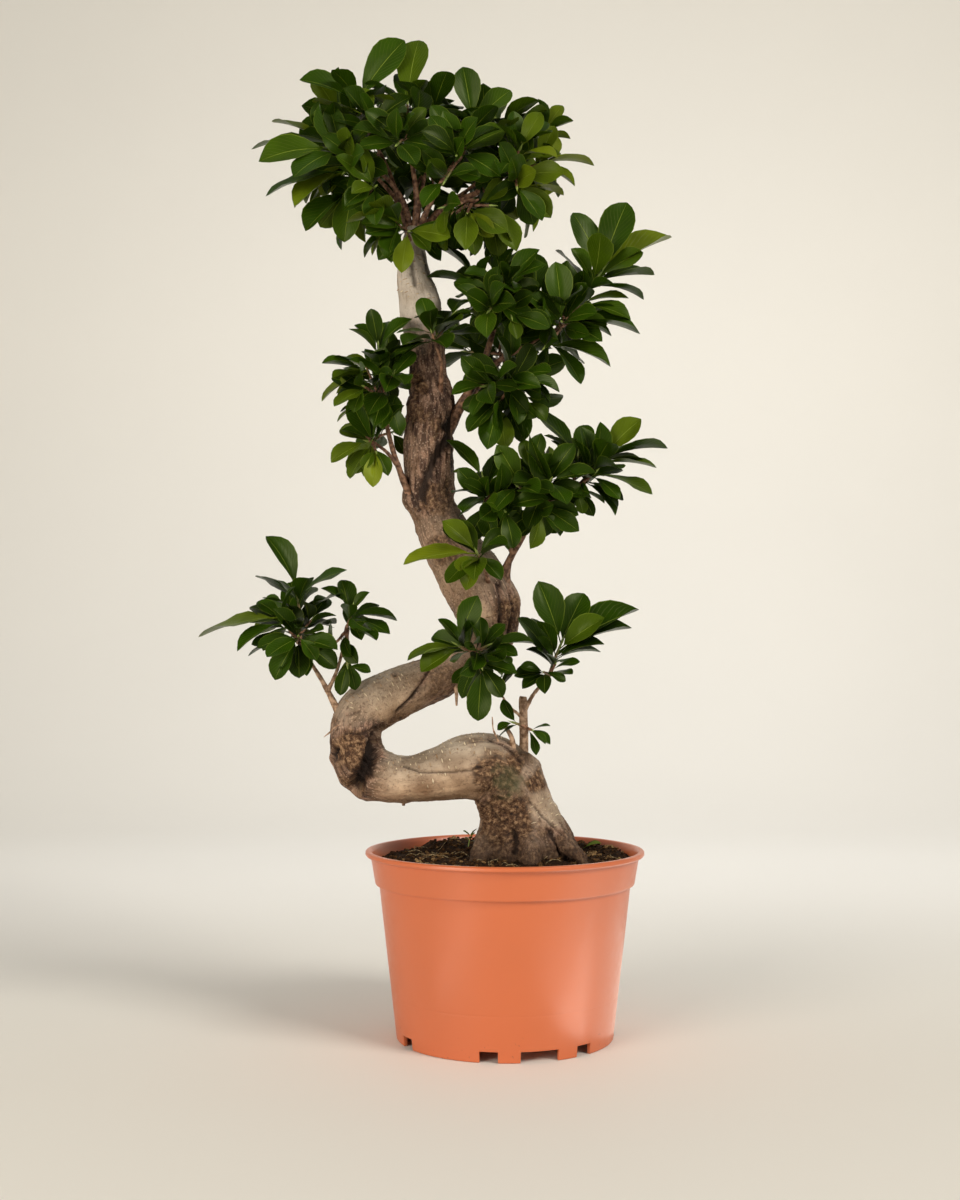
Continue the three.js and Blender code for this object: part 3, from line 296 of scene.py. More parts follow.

# Marks on the trunk: places (across, up), width and depth in millimetres. A furrow is cut in and darkened with
# # painted shade, and a scar is a patch of rough bark.
FURROWS = (
    (((-120, 291), (-127, 276), (-134, 260), (-141, 246), (-147, 234)), 13, 13),
    (((-165, 274), (-168, 266), (-170, 258)), 4, 5),
    (((-74, 352), (-82, 338), (-90, 327), (-106, 311)), 2.2, 3.2),
    (((-99, 258), (-84, 252), (-58, 251), (-34, 253), (-16, 258)), 1.5, 2.6),
    (((-15, 285), (4, 276), (18, 262)), 2.4, 3),
    (((-157, 290), (-139, 290), (-124, 297)), 2.4, 2.5),
    (((-154, 308), (-142, 311)), 1.6, 1.8),
    (((-50, 583), (-60, 572), (-71, 554), (-78, 535), (-82, 520)), 9, 3.6),
    (((-93, 762), (-90, 744), (-87, 730)), 4, 2.4),
    (((-79, 762), (-75, 744), (-67, 731)), 4, 2.4),
    (((-8, 436), (-4, 414), (-6, 380)), 3, 3.2),
    (((4, 430), (8, 410), (4, 384)), 2.6, 3),
    (((14, 418), (16, 402), (12, 388)), 2.4, 2.6),
    (((-44, 620), (-47, 604), (-54, 588)), 10, 4),
    (((-96, 540), (-92, 526), (-84, 508)), 2.5, 2.6),
    (((-20, 222), (-10, 212), (-4, 202)), 3, 2.4),
    (((8, 194), (11, 184), (10, 172)), 4, 3.4),
    (((44, 194), (50, 182), (54, 172)), 3, 3),
    (((26, 222), (40, 206), (56, 190)), 2.4, 2.4),
)
BACK_FURROWS = (
    (((-50, 245), (-70, 242), (-92, 241)), 2, 1.6), (((-150, 262), (-146, 280), (-136, 296)), 7, 5),
    (((-92, 338), (-70, 348), (-56, 358)), 2.4, 1.8), (((-28, 408), (-34, 430), (-46, 452)), 3, 2),
    (((-66, 508), (-76, 530), (-73, 558)), 6, 2.4), (((-70, 606), (-76, 626)), 3, 2),
    (((28, 232), (22, 212), (30, 186)), 8, 3), (((2, 222), (-2, 204), (-8, 180)), 6, 2.6),
)
SCARS = (
    ((-148, 272), 24, 1.6), ((-60, 340), 22, 0.4), ((-10, 250), 26, 1.4), ((10, 262), 16, 2.4),
    ((0, 205), 36, 1.6), ((-150, 238), 16, 2), ((-84, 634), 10, 2), ((-66, 520), 22, 0.8),
    ((8, 406), 20, 1.8), ((-60, 470), 18, 1), ((-88, 606), 14, 0.8), ((34, 244), 14, 2),
)
KNOTS = (
    ((-107, 347), 3.2, 1.6), ((-86, 636), 5.5, 3.4), ((-166, 302), 3, 1.2), ((22, 268), 6, -3),
    ((-30, 300), 3, 1),
)
SMOOTH_PLACES = (((44, 216), 19), ((-62, 238), 22), ((-118, 318), 16), ((-28, 404), 15))
GREEN_PLACE = ((4, 243), 20)

# The cork pores: how high up the first ones sit and how far apart they are at least, both in metres, then how
# brown, rough and furrowed the bark may be, how crowded they are, their length and width, and how far they stand
# out.
SOIL_LINE = 0.19
PORE_SPACING = 0.0042
PORE_BROWN = (0.18, 0.5)
PORE_ROUGH = 0.4
PORE_FURROW = 0.1
PORE_CROWD = (-0.3, 0.6)
PORE_LONG = (0.9, 3.1)
PORE_WIDE = (0.45, 0.8)
PORE_HIGH = 0.5

# Where wood shows between the leaves: middle, reach, and the depth before which no leaf is added.
OPEN_PLACES = (
    ((-96, 822), 17, 10), ((-84, 803), 15, 10), ((-62, 820), 16, -10), ((-42, 812), 14, -20),
    ((-27, 812), 12, -30), ((-88, 745), 17, 30), ((-78, 610), 20, 30), ((-80, 575), 22, 30),
    ((-88, 535), 24, 30), ((-74, 640), 18, 0), ((-84, 500), 20, 30), ((-70, 470), 18, 30),
    ((-105, 560), 12, 20), ((-13, 672), 14, -40), ((-8, 690), 10, -40), ((-30, 650), 12, -60),
    ((18, 470), 10, 0), ((-6, 410), 18, 0), ((22, 300), 12, 0), ((-80, 335), 22, 40),
)

# Loose things on the soil: places (x, y) in the pot.
FALLEN_LEAF = (89, 48)
WEED = (-36, 74)

# The crumbs: how far out they lie, their sizes, the share of them that are bits of bark and how much larger those
# are. Then the fibres: their number, how far out they lie, their radii, and the steps that each is laid in.
CRUMB_REACH = 122
CRUMB_SIZE = (1.0, 2.6)
BARK_SHARE = 0.14
BARK_LARGER = 1.25
FIBRES = 70
FIBRE_REACH = 116
FIBRE_RADIUS = (0.2, 0.42)
FIBRE_STEP = 3.2
FIBRE_STEPS = 5

# Mounds of the soil: middle, reach and height. The first lies round the trunk, the others behind it.
MOUNDS = (((TRUNK[2][0], TRUNK[2][2]), 52, 5), ((95, 70), 34, 7), ((-48, 98), 42, 7))
SOIL_RADIUS = 125.4
SOIL_RINGS = 60

# The pot's outline as (radius, height): the raised floor and the standing ring, then the wall from the foot with
# its faint mould line (heights from that line, and dents), the stepped band, the bead and the inside.
FOOT_RADIUS = 104.5
WALL_SLOPE = (121.7 - FOOT_RADIUS) / 146
POT_FOOT = ((66, 0), (70, 11), (101.3, 11), (101.3, 0), (FOOT_RADIUS, 0), (104.7, 1.5))
WALL_FOOT = 12
MOULD_DENTS = ((-2, 0), (-0.5, 0), (0, 0.08), (0.5, 0), (2, 0), (102, 0), (104, 0))
POT_BAND = ((125.3, 146.6), (125.6, 147.6), (125.85, 149), (129.75, 171.2), (130, 172.6))
POT_BEAD = ((134, 173.2), (135, 174.4), (135, 176.8), (134.2, 177.7), (132.8, 178), (130.6, 178), (129.4, 177.2))
POT_INSIDE = ((128.2, 174), (123.3, 149), (119.5, 146), (103.9, 13.2), (69, 13.2), (65, 2.2))

# The openings of the foot as (azimuth, width), with the reach, depth, top and height of what cuts them, and the
# drain holes of the floor.
NOTCHES = (*((-9 + i * 360 / 7, 17) for i in range(7)), (16.7, 36), (171, 36))
NOTCH_REACH = 102.9
NOTCH_DEEP = 9
NOTCH_TOP = 10
NOTCH_HIGH = 11
DRAINS = 4
DRAIN_RADIUS = 5.5
DRAIN_REACH = 85
DRAIN_MIDDLE = 12
DRAIN_LONG = 9

# The stage's floor in metres: how wide and long it is, where its flat part ends and the bend to the backdrop
# begins, how long the bend is, and how far the floor comes to the front.
FLOOR_WIDE = 12
FLOOR_LONG = 9
FLOOR_FLAT = 5.4
FLOOR_BEND = 2.2
FLOOR_FRONT = 3.6

# The lights: place, aim, size, power in watts (None where it is a setting) and colour. The cards show only in
# the gloss.
LIGHTS = {
    "key_light": ((3.1, -2.7, 3.1), (0, 0, 0.45), (1.9, 1.9), None, "#fffaf2"),
    "fill_light": ((-2.2, -2.6, 1.1), (0, 0, 0.3), (1.8, 1.8), 72, "#fff6ea"),
    "backdrop_light": ((0.3, 0.9, 1.5), (0.3, 3.0, 0.0), (2.4, 0.8), 18, "#f2f5ff"),
    "right_card": ((0.33, 0.03, 0.002), (0.33, 0.03, 1), (0.44, 0.64), 0.8, "#fff6ea"),
    "narrow_card": ((0.33, -0.12, 0.002), (0.33, -0.12, 1), (0.46, 0.08), 0.24, "#fff6ea"),
    "left_card": ((-0.2, -0.29, 0.002), (-0.2, -0.29, 1), (0.06, 0.3), 0.06, "#fff6ea"),
}

# The light that comes from all sides, the width of the camera's sensor in millimetres, and how far in metres it
# sees.
AIR_COLOUR = "#f6f2ec"
AIR_STRENGTH = 0.34
SENSOR_WIDTH = 36
VIEW_REACH = 60

# The sockets of a colour mix: how much of the upper colour, the lower one, the upper one, and the outcome.
PART, UNDER, OVER, MIXED = 0, 6, 7, 2


def colour(code):
    """A colour given as an sRGB hex code, as Blender's linear one."""
    parts = [int(code[i:i + 2], 16) / 255 for i in (1, 3, 5)]
    return (*[c / 12.92 if c <= 0.04045 else ((c + 0.055) / 1.055) ** 2.4 for c in parts], 1)


def add_node(tree, kind, inputs=None, stops=None, **settings):
    """Adds one shader node with its settings, its links and values, and a ramp's stops; gives its outputs."""
    node = tree.nodes.new("ShaderNode" + kind)
    for name, value in settings.items():
        setattr(node, name, value)
    for i, (place, tone) in enumerate(stops or ()):
        ramp = node.color_ramp.elements
        element = ramp[i] if i < 2 else ramp.new(place)
        element.position = place
        element.color = tone
    fill_inputs(node, inputs or {})
    return node.outputs


def fill_inputs(node, inputs):
    """Links or sets the inputs of a node."""
    for name, value in inputs.items():
        if isinstance(value, bpy.types.NodeSocket):
            node.id_data.links.new(value, node.inputs[name])
        else:
            node.inputs[name].default_value = value


def new_material(name):
    """A fresh material, what adds nodes to it, and its shader."""
    material = bpy.data.materials.new(name)
    material.use_nodes = True
    return material, partial(add_node, material.node_tree), material.node_tree.nodes["Principled BSDF"]


def grain_scale(millimetres):
    """The scale at which a pattern on places in metres repeats about every so many millimetres."""
    return 1 / (millimetres * MM)


def moulded_polypropylene():
    """Moulded polypropylene: orange all through, so it shows no coat, with a satin gloss that the mould left a
    little uneven, and dirt near the foot"""
    material, add, shader = new_material("moulded_polypropylene")
    base = (*bpy.context.scene.ficus_pot.colour, 1)
    dull = [c * 0.93 for c in base[:3]] + [1]
    spot = add("TexCoord")["Object"]
    height = add("SeparateXYZ", {0: spot})["Z"]
    clouds, specks, scuffs = (
        add("TexNoise", {"Vector": spot, "Scale": grain_scale(size), "Detail": detail})["Fac"]
        for size, detail in ((60, 3), (3.5, 4), (9, 5)))
    low = add("MapRange", {"Value": height, "From Min": 0.026, "From Max": 0.002})[0]
    dirt = add("MapRange", {"Value": specks, "From Min": 0.66, "From Max": 0.74, "To Max": low})[0]
    tone = add("Mix", {PART: clouds, UNDER: base, OVER: dull}, data_type="RGBA")[MIXED]
    gloss = {"Value": scuffs, "From Min": 0.3, "From Max": 0.7, "To Min": 0.3, "To Max": 0.38}
    fill_inputs(shader, {
        "Base Color": add("Mix", {PART: dirt, UNDER: tone, OVER: colour("#8a4a30")}, data_type="RGBA")[MIXED],
        "Roughness": add("MapRange", gloss)[0],
        "Normal": add("Bump", {"Height": scuffs, "Distance": 0.03 * MM})[0],
        "IOR": 1.49,
        "Specular IOR Level": 0.85,
    })
    return material


def damp_peat():
    """Damp peat: nearly black brown and matt, with paler dry crumbs and a coarse crumbly grain"""
    material, add, shader = new_material("damp_peat")
    spot = add("TexCoord")["Object"]
    grit = add("TexNoise", {"Vector": spot, "Scale": grain_scale(3), "Detail": 6, "Roughness": 0.7})["Fac"]
    stops = ((0.36, "#150c06"), (0.52, "#2c1c0e"), (0.62, "#4a3119"), (0.74, "#84643c"))
    stops = [(place, colour(code)) for place, code in stops]
    fill_inputs(shader, {
        "Base Color": add("ValToRGB", {"Fac": grit}, stops)["Color"],
        "Normal": add("Bump", {"Height": grit, "Distance": 2.5 * MM})[0],
        "Roughness": 0.95,
        "Specular IOR Level": 0.15,
    })
    return material


def crumb_peat(name, dark, pale):
    """Broken peat, bark bits and dry fibres: matt, each one with its own brown from its tone"""
    material, add, shader = new_material(name)
    spot = add("TexCoord")["Object"]
    tone = add("Attribute", attribute_name="tone")["Fac"]
    grain = add("TexNoise", {"Vector": spot, "Scale": grain_scale(1.6), "Detail": 3})["Fac"]
    own = add("Mix", {PART: tone, UNDER: colour(dark), OVER: colour(pale)}, data_type="RGBA")[MIXED]
    shade = add("MapRange", {"Value": grain, "From Min": 0.4, "From Max": 0.7})[0]
    fill_inputs(shader, {
        "Base Color": add("Mix", {PART: shade, UNDER: own, OVER: colour("#1c1107")}, data_type="RGBA")[MIXED],
        "Normal": add("Bump", {"Height": grain, "Distance": 0.6 * MM})[0],
        "Roughness": 0.9,
        "Specular IOR Level": 0.15,
    })
    return material


def ficus_bark():
    """Ficus bark: thin, smooth and tan where it is young, greyer on upward faces with painted sky light and warmer
    on those turned down; corky, brown and speckled where it is old, split along the stem; browner on under sides,
    round the furrows and high up under the second tier with painted shade; rough scars, moss, darker towards the
    foot, and furrows made nearly black with painted shade"""
    material, add, shader = new_material("ficus_bark")
    marks = add("Attribute", attribute_name="marks")
    rough, furrow_shade, green = add("SeparateColor", {0: marks["Color"]})
    brown = add("Attribute", attribute_name="brown")["Fac"]
    straight = add("Attribute", attribute_name="straight")["Vector"]
    drawn_out = add("Mapping", {"Vector": straight, "Scale": (1, 1, 0.22)})[0]
    spot = add("TexCoord")["Object"]
    height = add("SeparateXYZ", {0: spot})["Z"]
    clouds, specks, torn, streaks = (
        add("TexNoise", {"Vector": place, "Scale": grain_scale(size), "Detail": detail,
                         "Roughness": roughness, "Distortion": distortion})["Fac"]
        for place, size, detail, roughness, distortion in (
            (straight, 28, 5, 0.5, 0), (straight, 2.6, 6, 0.65, 0), (straight, 4, 6, 0.75, 0),
            (drawn_out, 4.5, 7, 0.62, 0.5)))
    grit = add("TexVoronoi", {"Vector": straight, "Scale": grain_scale(2.8)})["Distance"]

    # Sums of a pattern times a number and another pattern, and masks cut out of patterns: where they start, where
    # they are full, and how full.
    ragged = add("Math", {0: clouds, 1: 0.9, 2: brown}, operation="MULTIPLY_ADD")[0]
    low = add("Math", {0: clouds, 1: 0.05, 2: height}, operation="MULTIPLY_ADD")[0]
    # The last of these masks darkens the bark towards the foot.
    cloud, high, aged, split, line, gritty, moss, darker_foot = (
        add("MapRange", {"Value": value, "From Min": start, "From Max": full, "To Max": most})[0]
        for value, start, full, most in (
            (clouds, 0.36, 0.64, 1), (height, 0.6, 0.7, 1), (ragged, 0.75, 1.25, 1), (streaks, 0.42, 0.56, 1),
            (streaks, 0.56, 0.7, 0.5), (brown, 0.1, 0.6, 0.5), (green, 0, 1, 0.6), (low, 0.235, 0.192, 0.75)))
    clear = add("MapRange", {"Value": high, "To Min": 0.3, "To Max": 0.1})[0]
    speckled = add("Math", {0: brown, 1: 0.7, 2: clear}, operation="MULTIPLY_ADD")[0]
    dot = add("MapRange", {"Value": specks, "From Min": 0.54, "From Max": 0.62, "To Max": speckled})[0]
    grain = add("MapRange", {"Value": grit, "From Min": 0.34, "From Max": 0.18, "To Max": gritty})[0]
    stops = [(place, colour(code)) for place, code in ((0.36, "#24160c"), (0.5, "#68482f"), (0.62, "#b8946e"))]
    scar = add("ValToRGB", {"Fac": torn}, stops)["Color"]

    # The cool grey tint that the marks' alpha lays on upward faces is painted sky light; the warm tan stays on
    # faces turned down.
    warm, sky_lit_grey, grey, old = (
        add("Mix", {PART: mask, UNDER: colour(under), OVER: colour(over)}, data_type="RGBA")[MIXED]
        for mask, under, over in ((cloud, "#8f6f52", "#ccac8b"), (cloud, "#897965", "#bdae9a"),
                                  (cloud, "#ae9f8c", "#d5cabb"), (split, "#9c7b65", "#38231a")))
    ground = warm
    # In this list, the near black on the furrows is painted shade.
    for mask, over in ((marks["Alpha"], sky_lit_grey), (high, grey), (aged, old), (line, colour("#6a4f38")),
                       (dot, colour("#4f3626")), (grain, colour("#ccaf95")), (rough, scar),
                       (moss, colour("#434c2c")), (darker_foot, colour("#3d2c1e")), (furrow_shade, colour("#26170c"))):
        ground = add("Mix", {PART: mask, UNDER: ground, OVER: over}, data_type="RGBA")[MIXED]
    shreds = add("Math", {0: torn, 1: rough}, operation="MULTIPLY")[0]
    broken = add("Bump", {"Height": shreds, "Distance": 3.5 * MM})[0]
    relief = add("Bump", {"Height": specks, "Distance": 1.2 * MM, "Normal": broken})[0]
    fill_inputs(shader, {
        "Base Color": ground,
        "Normal": add("Bump", {"Height": streaks, "Distance": -1.2 * MM, "Normal": relief})[0],
        "Roughness": 0.7,
        "Specular IOR Level": 0.35,
    })
    return material


def cork_pore():
    """Raised cork pores: small cream dashes, dry and matt"""
    material, add, shader = new_material("cork_pore")
    tone = add("Attribute", attribute_name="tone")["Fac"]
    own = {PART: tone, UNDER: colour("#977a5c"), OVER: colour("#ecdcbc")}
    fill_inputs(shader, {
        "Base Color": add("Mix", own, data_type="RGBA")[MIXED],
        "Roughness": 0.85,
        "Specular IOR Level": 0.2,
    })
    return material


def twig_bark():
    """Young ficus bark: tan on the low limbs, red brown on the high and thin ones, green towards a shoot's tip"""
    material, add, shader = new_material("twig_bark")
    spot = add("TexCoord")["Object"]
    tone = add("Attribute", attribute_name="tone")["Fac"]
    grain = add("TexNoise", {"Vector": spot, "Scale": grain_scale(4), "Detail": 4})["Fac"]
    mottle, thin, young = (
        add("MapRange", {"Value": value, "From Min": start, "From Max": full})[0]
        for value, start, full in ((grain, 0.4, 0.62), (tone, 0, 0.25), (tone, 0.55, 1)))
    red, tan = (
        add("Mix", {PART: mottle, UNDER: colour(under), OVER: colour(over)}, data_type="RGBA")[MIXED]
        for under, over in (("#52331f", "#a0775a"), ("#7b5c42", "#c4a284")))
    ground = tan
    for mask, over in ((thin, red), (young, colour("#6f8a3c"))):
        ground = add("Mix", {PART: mask, UNDER: ground, OVER: over}, data_type="RGBA")[MIXED]
    fill_inputs(shader, {
        "Base Color": ground,
        "Normal": add("Bump", {"Height": grain, "Distance": 0.5 * MM})[0],
        "Roughness": 0.6,
    })
    return material


def leaf_blade(name, shades, rib_and_rim_highlight, roughness, sheen):
    """A waxy ficus blade: satin gloss, a pale midrib, a painted highlight along the rim, faint side veins, and a
    green that follows its tone"""
    material, add, shader = new_material(name)
    spot = add("TexCoord")["Object"]
    tone = add("Attribute", attribute_name="tone")["Fac"]
    blade = add("UVMap", uv_map="blade")["UV"]
    along, across, _ = add("SeparateXYZ", {0: blade})
    off_middle = add("Math", {0: across, 1: 0.5}, operation="SUBTRACT")[0]
    aside = add("Math", {0: off_middle}, operation="ABSOLUTE")[0]
    stops = [(i / 2, colour(shade)) for i, shade in enumerate(shades)]
    green = add("ValToRGB", {"Fac": tone}, stops)["Color"]
    clouds = add("TexNoise", {"Vector": spot, "Scale": grain_scale(22), "Detail": 1})["Fac"]

    # Eleven slanting veins a side, and a midrib that narrows towards the tip.
    rise = add("Math", {0: along, 1: 11}, operation="MULTIPLY")[0]
    slant = add("Math", {0: aside, 1: -9, 2: rise}, operation="MULTIPLY_ADD")[0]
    stripe = add("Math", {0: slant, 1: 0.5}, operation="PINGPONG")[0]
    narrow = add("Math", {0: along, 1: -0.013, 2: 0.018}, operation="MULTIPLY_ADD")[0]
    ratio = add("Math", {0: aside, 1: narrow}, operation="DIVIDE")[0]
    vein, midrib = (
        add("MapRange", {"Value": value, "From Min": start, "From Max": full})[0]
        for value, start, full in ((stripe, 0.07, 0), (ratio, 1.15, 0.6)))
    cloud, faint, pale, edge = (
        add("MapRange", {"Value": value, "From Min": start, "From Max": full, "To Max": most})[0]
        for value, start, full, most in (
            (clouds, 0.35, 0.7, 0.35), (vein, 0, 1, 0.16), (midrib, 0, 1, 0.55), (aside, 0.47, 0.5, 0.4)))
    # The pale line along the rim is a painted highlight; the pale midrib and the veins are the leaf's own.
    for mask, over in ((cloud, shades[0]), (faint, shades[2]), (pale, rib_and_rim_highlight), (edge, rib_and_rim_highlight)):
        green = add("Mix", {PART: mask, UNDER: green, OVER: colour(over)}, data_type="RGBA")[MIXED]
    relief = add("Bump", {"Height": vein, "Distance": -0.12 * MM})[0]
    fill_inputs(shader, {
        "Base Color": green,
        "Normal": add("Bump", {"Height": midrib, "Distance": -0.35 * MM, "Normal": relief})[0],
        "Roughness": roughness,
        "Specular IOR Level": sheen,
        "Specular Tint": colour("#e6f0b4"),
    })
    return material


def green_stalk():
    """Leaf stalks and bud scales: smooth pale green, a little waxy"""
    material, add, shader = new_material("green_stalk")
    spot = add("TexCoord")["Object"]
    grain = add("TexNoise", {"Vector": spot, "Scale": grain_scale(5), "Detail": 2})["Fac"]
    mottled = {PART: grain, UNDER: colour("#7f9a3e"), OVER: colour("#a9b562")}
    fill_inputs(shader, {
        "Base Color": add("Mix", mottled, data_type="RGBA")[MIXED],
        "Roughness": 0.45,
    })
    return material


def painted_floor():
    """Matt painted studio floor: warm off-white, with a soft unevenness"""
    material, add, shader = new_material("painted_floor")
    spot = add("TexCoord")["Object"]
    clouds = add("TexNoise", {"Vector": spot, "Scale": grain_scale(500), "Detail": 2})["Fac"]
    pale = (*bpy.context.scene.ficus_stage.floor_colour, 1)
    dull = [c * 0.97 for c in pale[:3]] + [1]
    fill_inputs(shader, {
        "Base Color": add("Mix", {PART: clouds, UNDER: pale, OVER: dull}, data_type="RGBA")[MIXED],
        "Roughness": 0.7,
        "Specular IOR Level": 0.2,
    })
    return material


def deselect_all():
    """Leaves edit mode, if need be, with nothing selected."""
    if bpy.context.object and bpy.context.object.mode != "OBJECT":
        bpy.ops.object.mode_set(mode="OBJECT")
    bpy.ops.object.select_all(action="DESELECT")


def choose(*pieces):
    """Selects these pieces alone, the first as the active one."""
    deselect_all()
    for piece in pieces:
        piece.select_set(True)
    bpy.context.view_layer.objects.active = pieces[0]


@contextmanager
def editing():
    """Edit mode with all of the active piece selected."""
    bpy.ops.object.mode_set(mode="EDIT")
    bpy.ops.mesh.select_all(action="SELECT")
    yield
    bpy.ops.object.mode_set(mode="OBJECT")


def named(piece, name):
    """A piece, once it and its mesh have that name."""
    piece.name = name
    piece.data.name = name
    return piece


def join(name, pieces):
    """Pieces joined into one, named name."""
    choose(*pieces)
    if len(pieces) > 1:
        bpy.ops.object.join()
    return named(bpy.context.object, name)


def apply_modifier(piece, kind, **settings):
    """Adds a modifier with its settings to a piece and applies it."""
    choose(piece)
    modifier = piece.modifiers.new(kind.lower(), kind)
    for name, value in settings.items():
        setattr(modifier, name, value)
    bpy.ops.object.modifier_apply(modifier=modifier.name)


def dress(piece, material):
    """Gives a piece smooth shading and its one material."""
    choose(piece)
    bpy.ops.object.shade_smooth()
    piece.data.materials.clear()
    piece.data.materials.append(material)


def hand_over(piece, slot, *nodes):
    """Settles a finished piece on the root body, in place of those nodes if there are any."""
    choose(piece)
    bpy.ops.object.transform_apply(location=True, rotation=True, scale=True)
    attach(piece, "root")
    if nodes:
        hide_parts(*nodes)


def read(data, field, width):
    """One field of all the items of a mesh or attribute, as an array with a row for each."""
    values = np.empty(len(data) * width, dtype=np.float32)
    data.foreach_get(field, values)
    return values.reshape(-1, width)


def points_of(mesh):
    """Vertex places as an array."""
    return read(mesh.vertices, "co", 3).astype(float)


def normals_of(mesh):
    """Vertex normals as an array."""
    return read(mesh.vertex_normals, "vector", 3).astype(float)


def set_points(mesh, places):
    """Moves the vertices to these places."""
    mesh.vertices.foreach_set("co", np.ascontiguousarray(places, dtype=np.float32).ravel())
    mesh.update()


def store(mesh, name, kind, field, values):
    """Gives each vertex a value under that name, which the materials read."""
    if name not in mesh.attributes:
        mesh.attributes.new(name, kind, "POINT")
    mesh.attributes[name].data.foreach_set(field, np.ascontiguousarray(values, dtype=np.float32).ravel())


def set_tone(mesh, tones):
    """Gives each vertex a tone from 0 to 1."""
    store(mesh, "tone", "FLOAT", "value", np.broadcast_to(tones, len(mesh.vertices)))


def set_faces(mesh, field, value):
    """Sets one field of all the faces."""
    mesh.polygons.foreach_set(field, [value] * len(mesh.polygons))


def tree_of(places):
    """A tree for finding the nearest of some places."""
    tree = kdtree.KDTree(len(places))
    for i, place in enumerate(places):
        tree.insert(place, i)
    tree.balance()
    return tree


def matrix_of(*columns):
    """The matrix that takes a model's axes and origin to these."""
    return Matrix([[column[k] for column in columns] for k in range(3)] + [[0, 0, 0, 1]])


def bell(part):
    """1 at 0, falling off smoothly on both sides to 0.37 at 1."""
    return np.exp(-part ** 2)


def turned_shell(name, profile, sides):
    """A closed round shell: a disc drawn out ring by ring along (radius, height) pairs in millimetres."""
    deselect_all()
    profile = [(radius * MM, height * MM) for radius, height in profile]
    radius, height = profile[0]
    bpy.ops.mesh.primitive_circle_add(vertices=sides, radius=radius, fill_type="NGON", location=(0, 0, height))
    shell = bpy.context.object
    bpy.ops.object.transform_apply(location=True)
    with editing():
        for (radius, height), (wider, higher) in zip(profile, profile[1:]):
            bpy.ops.mesh.extrude_region_move(TRANSFORM_OT_translate={"value": (0, 0, higher - height)})
            part = wider / radius
            bpy.ops.transform.resize(value=(part, part, 1), center_override=(0, 0, higher))
        bpy.ops.mesh.select_all(action="SELECT")
        bpy.ops.mesh.normals_make_consistent(inside=False)
    return named(shell, name)


def in_space(place):
    """A place read from the front, taken along the line of sight to its depth, in metres."""
    across, up, depth = place[:3]
    right = (across - EYE_ACROSS) / EYE_DISTANCE
    rise = (up - EYE_UP) / EYE_DISTANCE - math.tan(EYE_TILT)
    reach = (EYE_DISTANCE + depth) / (math.cos(EYE_TILT) - rise * math.sin(EYE_TILT))
    lift = math.sin(EYE_TILT) + rise * math.cos(EYE_TILT)
    return Vector((EYE_ACROSS + reach * right, depth, EYE_UP + reach * lift)) * MM


def as_seen(places):
    """Places in space, in metres, as (across, up) from the front, in millimetres."""
    x, y, z = (places / MM).T
    ahead = (y + EYE_DISTANCE) * math.cos(EYE_TILT) + (z - EYE_UP) * math.sin(EYE_TILT)
    above = (z - EYE_UP) * math.cos(EYE_TILT) - (y + EYE_DISTANCE) * math.sin(EYE_TILT)
    across = EYE_ACROSS + (x - EYE_ACROSS) / ahead * EYE_DISTANCE
    up = EYE_UP + (above / ahead + math.tan(EYE_TILT)) * EYE_DISTANCE
    return np.stack([across, up], axis=1)


def smooth_line(rows, steps, half=1.0):
    """A smooth line through rows of places with radii: (place, radius) pairs, steps to a row."""
    places = [in_space(row) for row in rows]
    radii = [row[3] * half * MM for row in rows]
    places = [places[0] * 2 - places[1], *places, places[-1] * 2 - places[-2]]
    line = []
    for i in range(len(rows) - 1):
        a, b, c, d = places[i:i + 4]
        before, here, after = (max((q - p).length, 1e-9) ** 0.5 for p, q in ((a, b), (b, c), (c, d)))
        leave = ((b - a) / before - (c - a) / (before + here) + (c - b) / here) * here
        reach = ((c - b) / here - (d - b) / (here + after) + (d - c) / after) * here
        for k in range(steps + (i == len(rows) - 2)):
            t = k / steps
            place = (b * (2 * t ** 3 - 3 * t ** 2 + 1) + leave * (t ** 3 - 2 * t ** 2 + t)
                     + c * (3 * t ** 2 - 2 * t ** 3) + reach * (t ** 3 - t ** 2))
            line.append((place, radii[i] + (radii[i + 1] - radii[i]) * t))
    return line


def rods(name, lines, roundness):
    """Round rods along lines of (place, radius) pairs, as one mesh."""
    deselect_all()
    bpy.ops.curve.primitive_nurbs_path_add(location=(0, 0, 0))
    rod = bpy.context.object
    curve = rod.data
    curve.splines.clear()
    for line in lines:
        spline = curve.splines.new("POLY")
        spline.points.add(len(line) - 1)
        for point, (place, radius) in zip(spline.points, line):
            point.co = (*place, 1)
            point.radius = radius
    curve.bevel_depth = 1
    curve.bevel_resolution = roundness
    curve.use_fill_caps = True
    bpy.ops.object.convert(target="MESH")
    return named(bpy.context.object, name)


def soil_height(x, y):
    """How high the soil stands at a place in millimetres: its level, mounds, bumps and crumbs."""
    soil = bpy.context.scene.ficus_soil
    bumps = math.sin(x / 11 + 1) * math.cos(y / 13) + 0.6 * math.sin((x + y) / 7)
    crumbs = noise.fractal(Vector((x, y, 0)) / 9, 0.9, 2.1, 5) * soil.crumble / MM
    mounds = sum(height * bell(math.hypot(x - middle[0], y - middle[1]) / reach)
                 for middle, reach, height in MOUNDS)
    return soil.top / MM + mounds + 2 * bumps + crumbs


